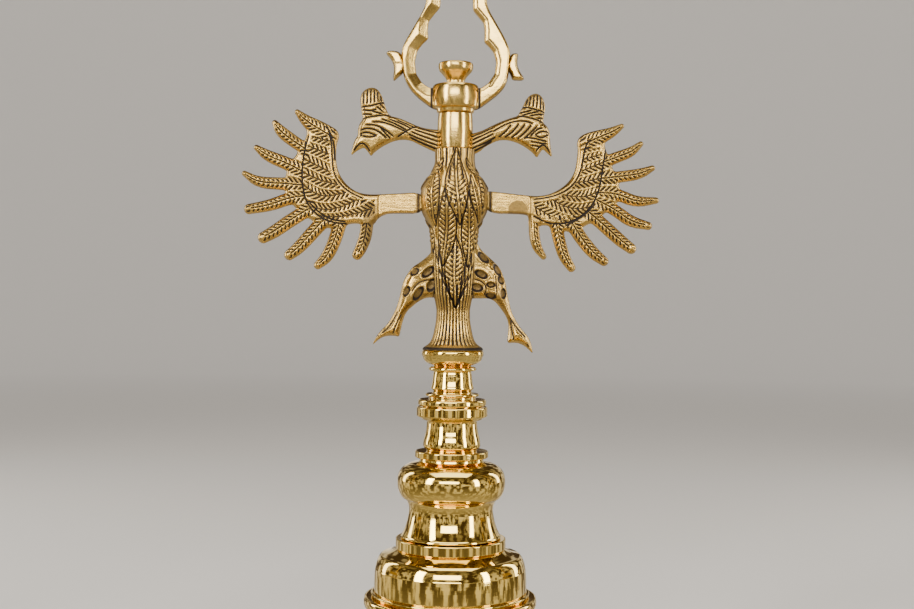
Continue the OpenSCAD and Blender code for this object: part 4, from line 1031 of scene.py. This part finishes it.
crescentShapes = {
    "left_crescent": [(-33.7, 318.8), (-32.8, 320), (-30.7, 320.3), (-27.6, 319.9), (-26, 318.4),
                      (-25.2, 316), (-24.2, 313.4), (-24.6, 310.8), (-25.6, 308.9), (-27.5, 307.4),
                      (-29.9, 305.1), (-30, 308), (-29.6, 311), (-29.9, 313.7), (-31.4, 316.4)],
    "right_crescent": [(26, 318), (26.8, 319.5), (30.1, 319.7), (29.4, 316.5), (29.6, 313.5),
                       (30.8, 310.7), (33.1, 307.4), (31.9, 306.5), (30.4, 306.4), (27, 306.5),
                       (26.5, 308.6), (25.2, 311), (24.6, 313.6), (25.4, 316)]}


def crescent(node, points):
    # A small pillow over a closed outline, darker at its rim.
    outline = chaikin(points, 2)

    def heightOf(x, z, d):
        cut = np.exp(-((z - 313.9) / 0.35) ** 2) * (x < 0) * 0.4
        return pillow(d, 1.5, 3.3) - 0.2 * cut, np.maximum(cut, 0.5 * np.clip(1 + d / 0.5, 0, 1))

    obj = outlinePlate(node + "_cast", outline, np.array(points), 0.22, heightOf)
    place(obj, "lyre", lyreBrass, "cast_brass", node)


for node, points in crescentShapes.items():
    crescent(node, points)
print("neck and lyre: done")

stageLook = {"pale": (0.64, 0.62, 0.59, 1), "floorR": 3.2, "sweep": 1.4, "wallH": 5.0,
             "glow": 0.36}


def stage():
    # A round floor whose edge sweeps up into a wall: a path of radius and height,
    # flat, a quarter circle, then straight, carried round Z, with a soft glow that
    # grows with the radius, so that the floor and the wall run into each other.
    look = stageLook
    floorR, sweep, turns = look["floorR"], look["sweep"], 96
    bend = np.linspace(0, math.pi / 2, 24)
    flat = np.array([0.001, 0.3, 0.6, 1, 1.6, 2.4])
    r = np.concatenate([flat, floorR + sweep * np.sin(bend), [floorR + sweep]])
    z = np.concatenate([0 * flat, sweep - sweep * np.cos(bend), [look["wallH"]]])
    angle = np.arange(turns) * 2 * math.pi / turns
    pts = np.stack([r[:, None] * np.sin(angle), -r[:, None] * np.cos(angle),
                    z[:, None] + 0 * angle], -1).reshape(-1, 3)
    quads = gridQuads(len(r), turns, False, True)
    mesh = bpy.data.meshes.new("floor")
    mesh.from_pydata(pts.tolist(), [], quads.tolist())
    mesh.polygons.foreach_set("use_smooth", np.ones(len(quads), bool))
    floor = bpy.data.objects.new("floor", mesh)
    bpy.context.scene.collection.objects.link(floor)
    material = bpy.data.materials.new("paleFloor")
    material.use_nodes = True
    tree = material.node_tree
    shader = tree.nodes["Principled BSDF"]
    shader.inputs["Base Color"].default_value = look["pale"]
    shader.inputs["Roughness"].default_value = 0.9
    shader.inputs["Emission Color"].default_value = look["pale"]
    reach = tree.nodes.new("ShaderNodeVectorMath")
    reach.operation = "LENGTH"
    tree.links.new(tree.nodes.new("ShaderNodeTexCoord").outputs["Object"], reach.inputs[0])
    glow = mathNode(tree, "MULTIPLY", rampNode(tree, reach.outputs["Value"], 0.5, 3.0), look["glow"])
    tree.links.new(glow, shader.inputs["Emission Strength"])
    mesh.materials.append(material)
    floor.visible_glossy = False


def softBox(name, where, target, size, power, colour=(1, 0.97, 0.92)):
    # An area light turned so that it faces the target; size in metres, power in watts.
    light = bpy.data.lights.new(name, "AREA")
    light.shape = "RECTANGLE"
    light.size, light.size_y = size
    light.energy = power
    light.color = colour
    obj = bpy.data.objects.new(name, light)
    obj.location = where
    direction = np.array(target) - np.array(where)
    obj.rotation_euler = Vector(direction).to_track_quat("-Z", "Y").to_euler()
    obj.visible_camera = False
    bpy.context.scene.collection.objects.link(obj)


roomLook = {"shade": (0.055, 0.037, 0.022, 1), "lit": (1.0, 0.92, 0.78, 1), "from": 0.49, "to": 0.56,
            "strength": 1.2, "floor": -0.5}


def lighting():
    # Soft boxes round the object, and a room whose walls have softly lit patches that
    # only the metal mirrors: noise over the direction, strongest at eye level.
    world = bpy.data.worlds.new("studio")
    world.use_nodes = True
    tree = world.node_tree
    direction = tree.nodes.new("ShaderNodeTexCoord").outputs["Generated"]
    panels = noiseNode(tree, stretchNode(tree, direction, 7, 7, 5), 1.0, 4, 0.62)
    panels = rampNode(tree, panels, roomLook["from"], roomLook["to"])
    height = tree.nodes.new("ShaderNodeSeparateXYZ")
    tree.links.new(direction, height.inputs[0])
    band = mathNode(tree, "POWER", mathNode(tree, "SUBTRACT", 1.0,
                                            mathNode(tree, "ABSOLUTE", height.outputs[2])), 1.5)
    below = mathNode(tree, "MULTIPLY", height.outputs[2], roomLook["floor"], clamp=True)
    lit = mathNode(tree, "MULTIPLY_ADD", panels, band, below, clamp=True)
    tree.links.new(mixNode(tree, lit, roomLook["shade"], roomLook["lit"]),
                   tree.nodes["Background"].inputs["Color"])
    tree.nodes["Background"].inputs["Strength"].default_value = roomLook["strength"]
    bpy.context.scene.world = world
    softBox("front", (-0.1, -1.3, 0.6), (0, 0, 0.25), (1.0, 0.3), 10)
    softBox("key", (-0.95, -0.85, 0.6), (0, 0, 0.24), (0.3, 0.8), 14)
    softBox("fill", (1.05, -0.7, 0.4), (0, 0, 0.22), (0.22, 0.8), 9, (1, 0.95, 0.86))
    softBox("top", (0, -0.35, 1.5), (0, 0, 0.2), (1.5, 0.9), 18)
    softBox("rimLeft", (-1.0, 0.55, 0.5), (0, 0, 0.2), (0.2, 0.9), 4)
    softBox("rimRight", (1.0, 0.55, 0.5), (0, 0, 0.2), (0.2, 0.9), 4)


cameraLook = {"lens": 50.0, "place": (0.0018, -0.609, 0.1988), "roll": -0.011}


def camera():
    # A level camera in front of the column, turned by its roll about its own view.
    data = bpy.data.cameras.new("camera")
    data.lens, data.sensor_width = cameraLook["lens"], 36.0
    data.clip_start, data.clip_end = 0.01, 20
    obj = bpy.data.objects.new("camera", data)
    obj.location = cameraLook["place"]
    obj.rotation_euler = (math.pi / 2, cameraLook["roll"], 0)
    bpy.context.scene.collection.objects.link(obj)
    bpy.context.scene.camera = obj


stage()
lighting()
camera()
print("stage, light and camera: done")
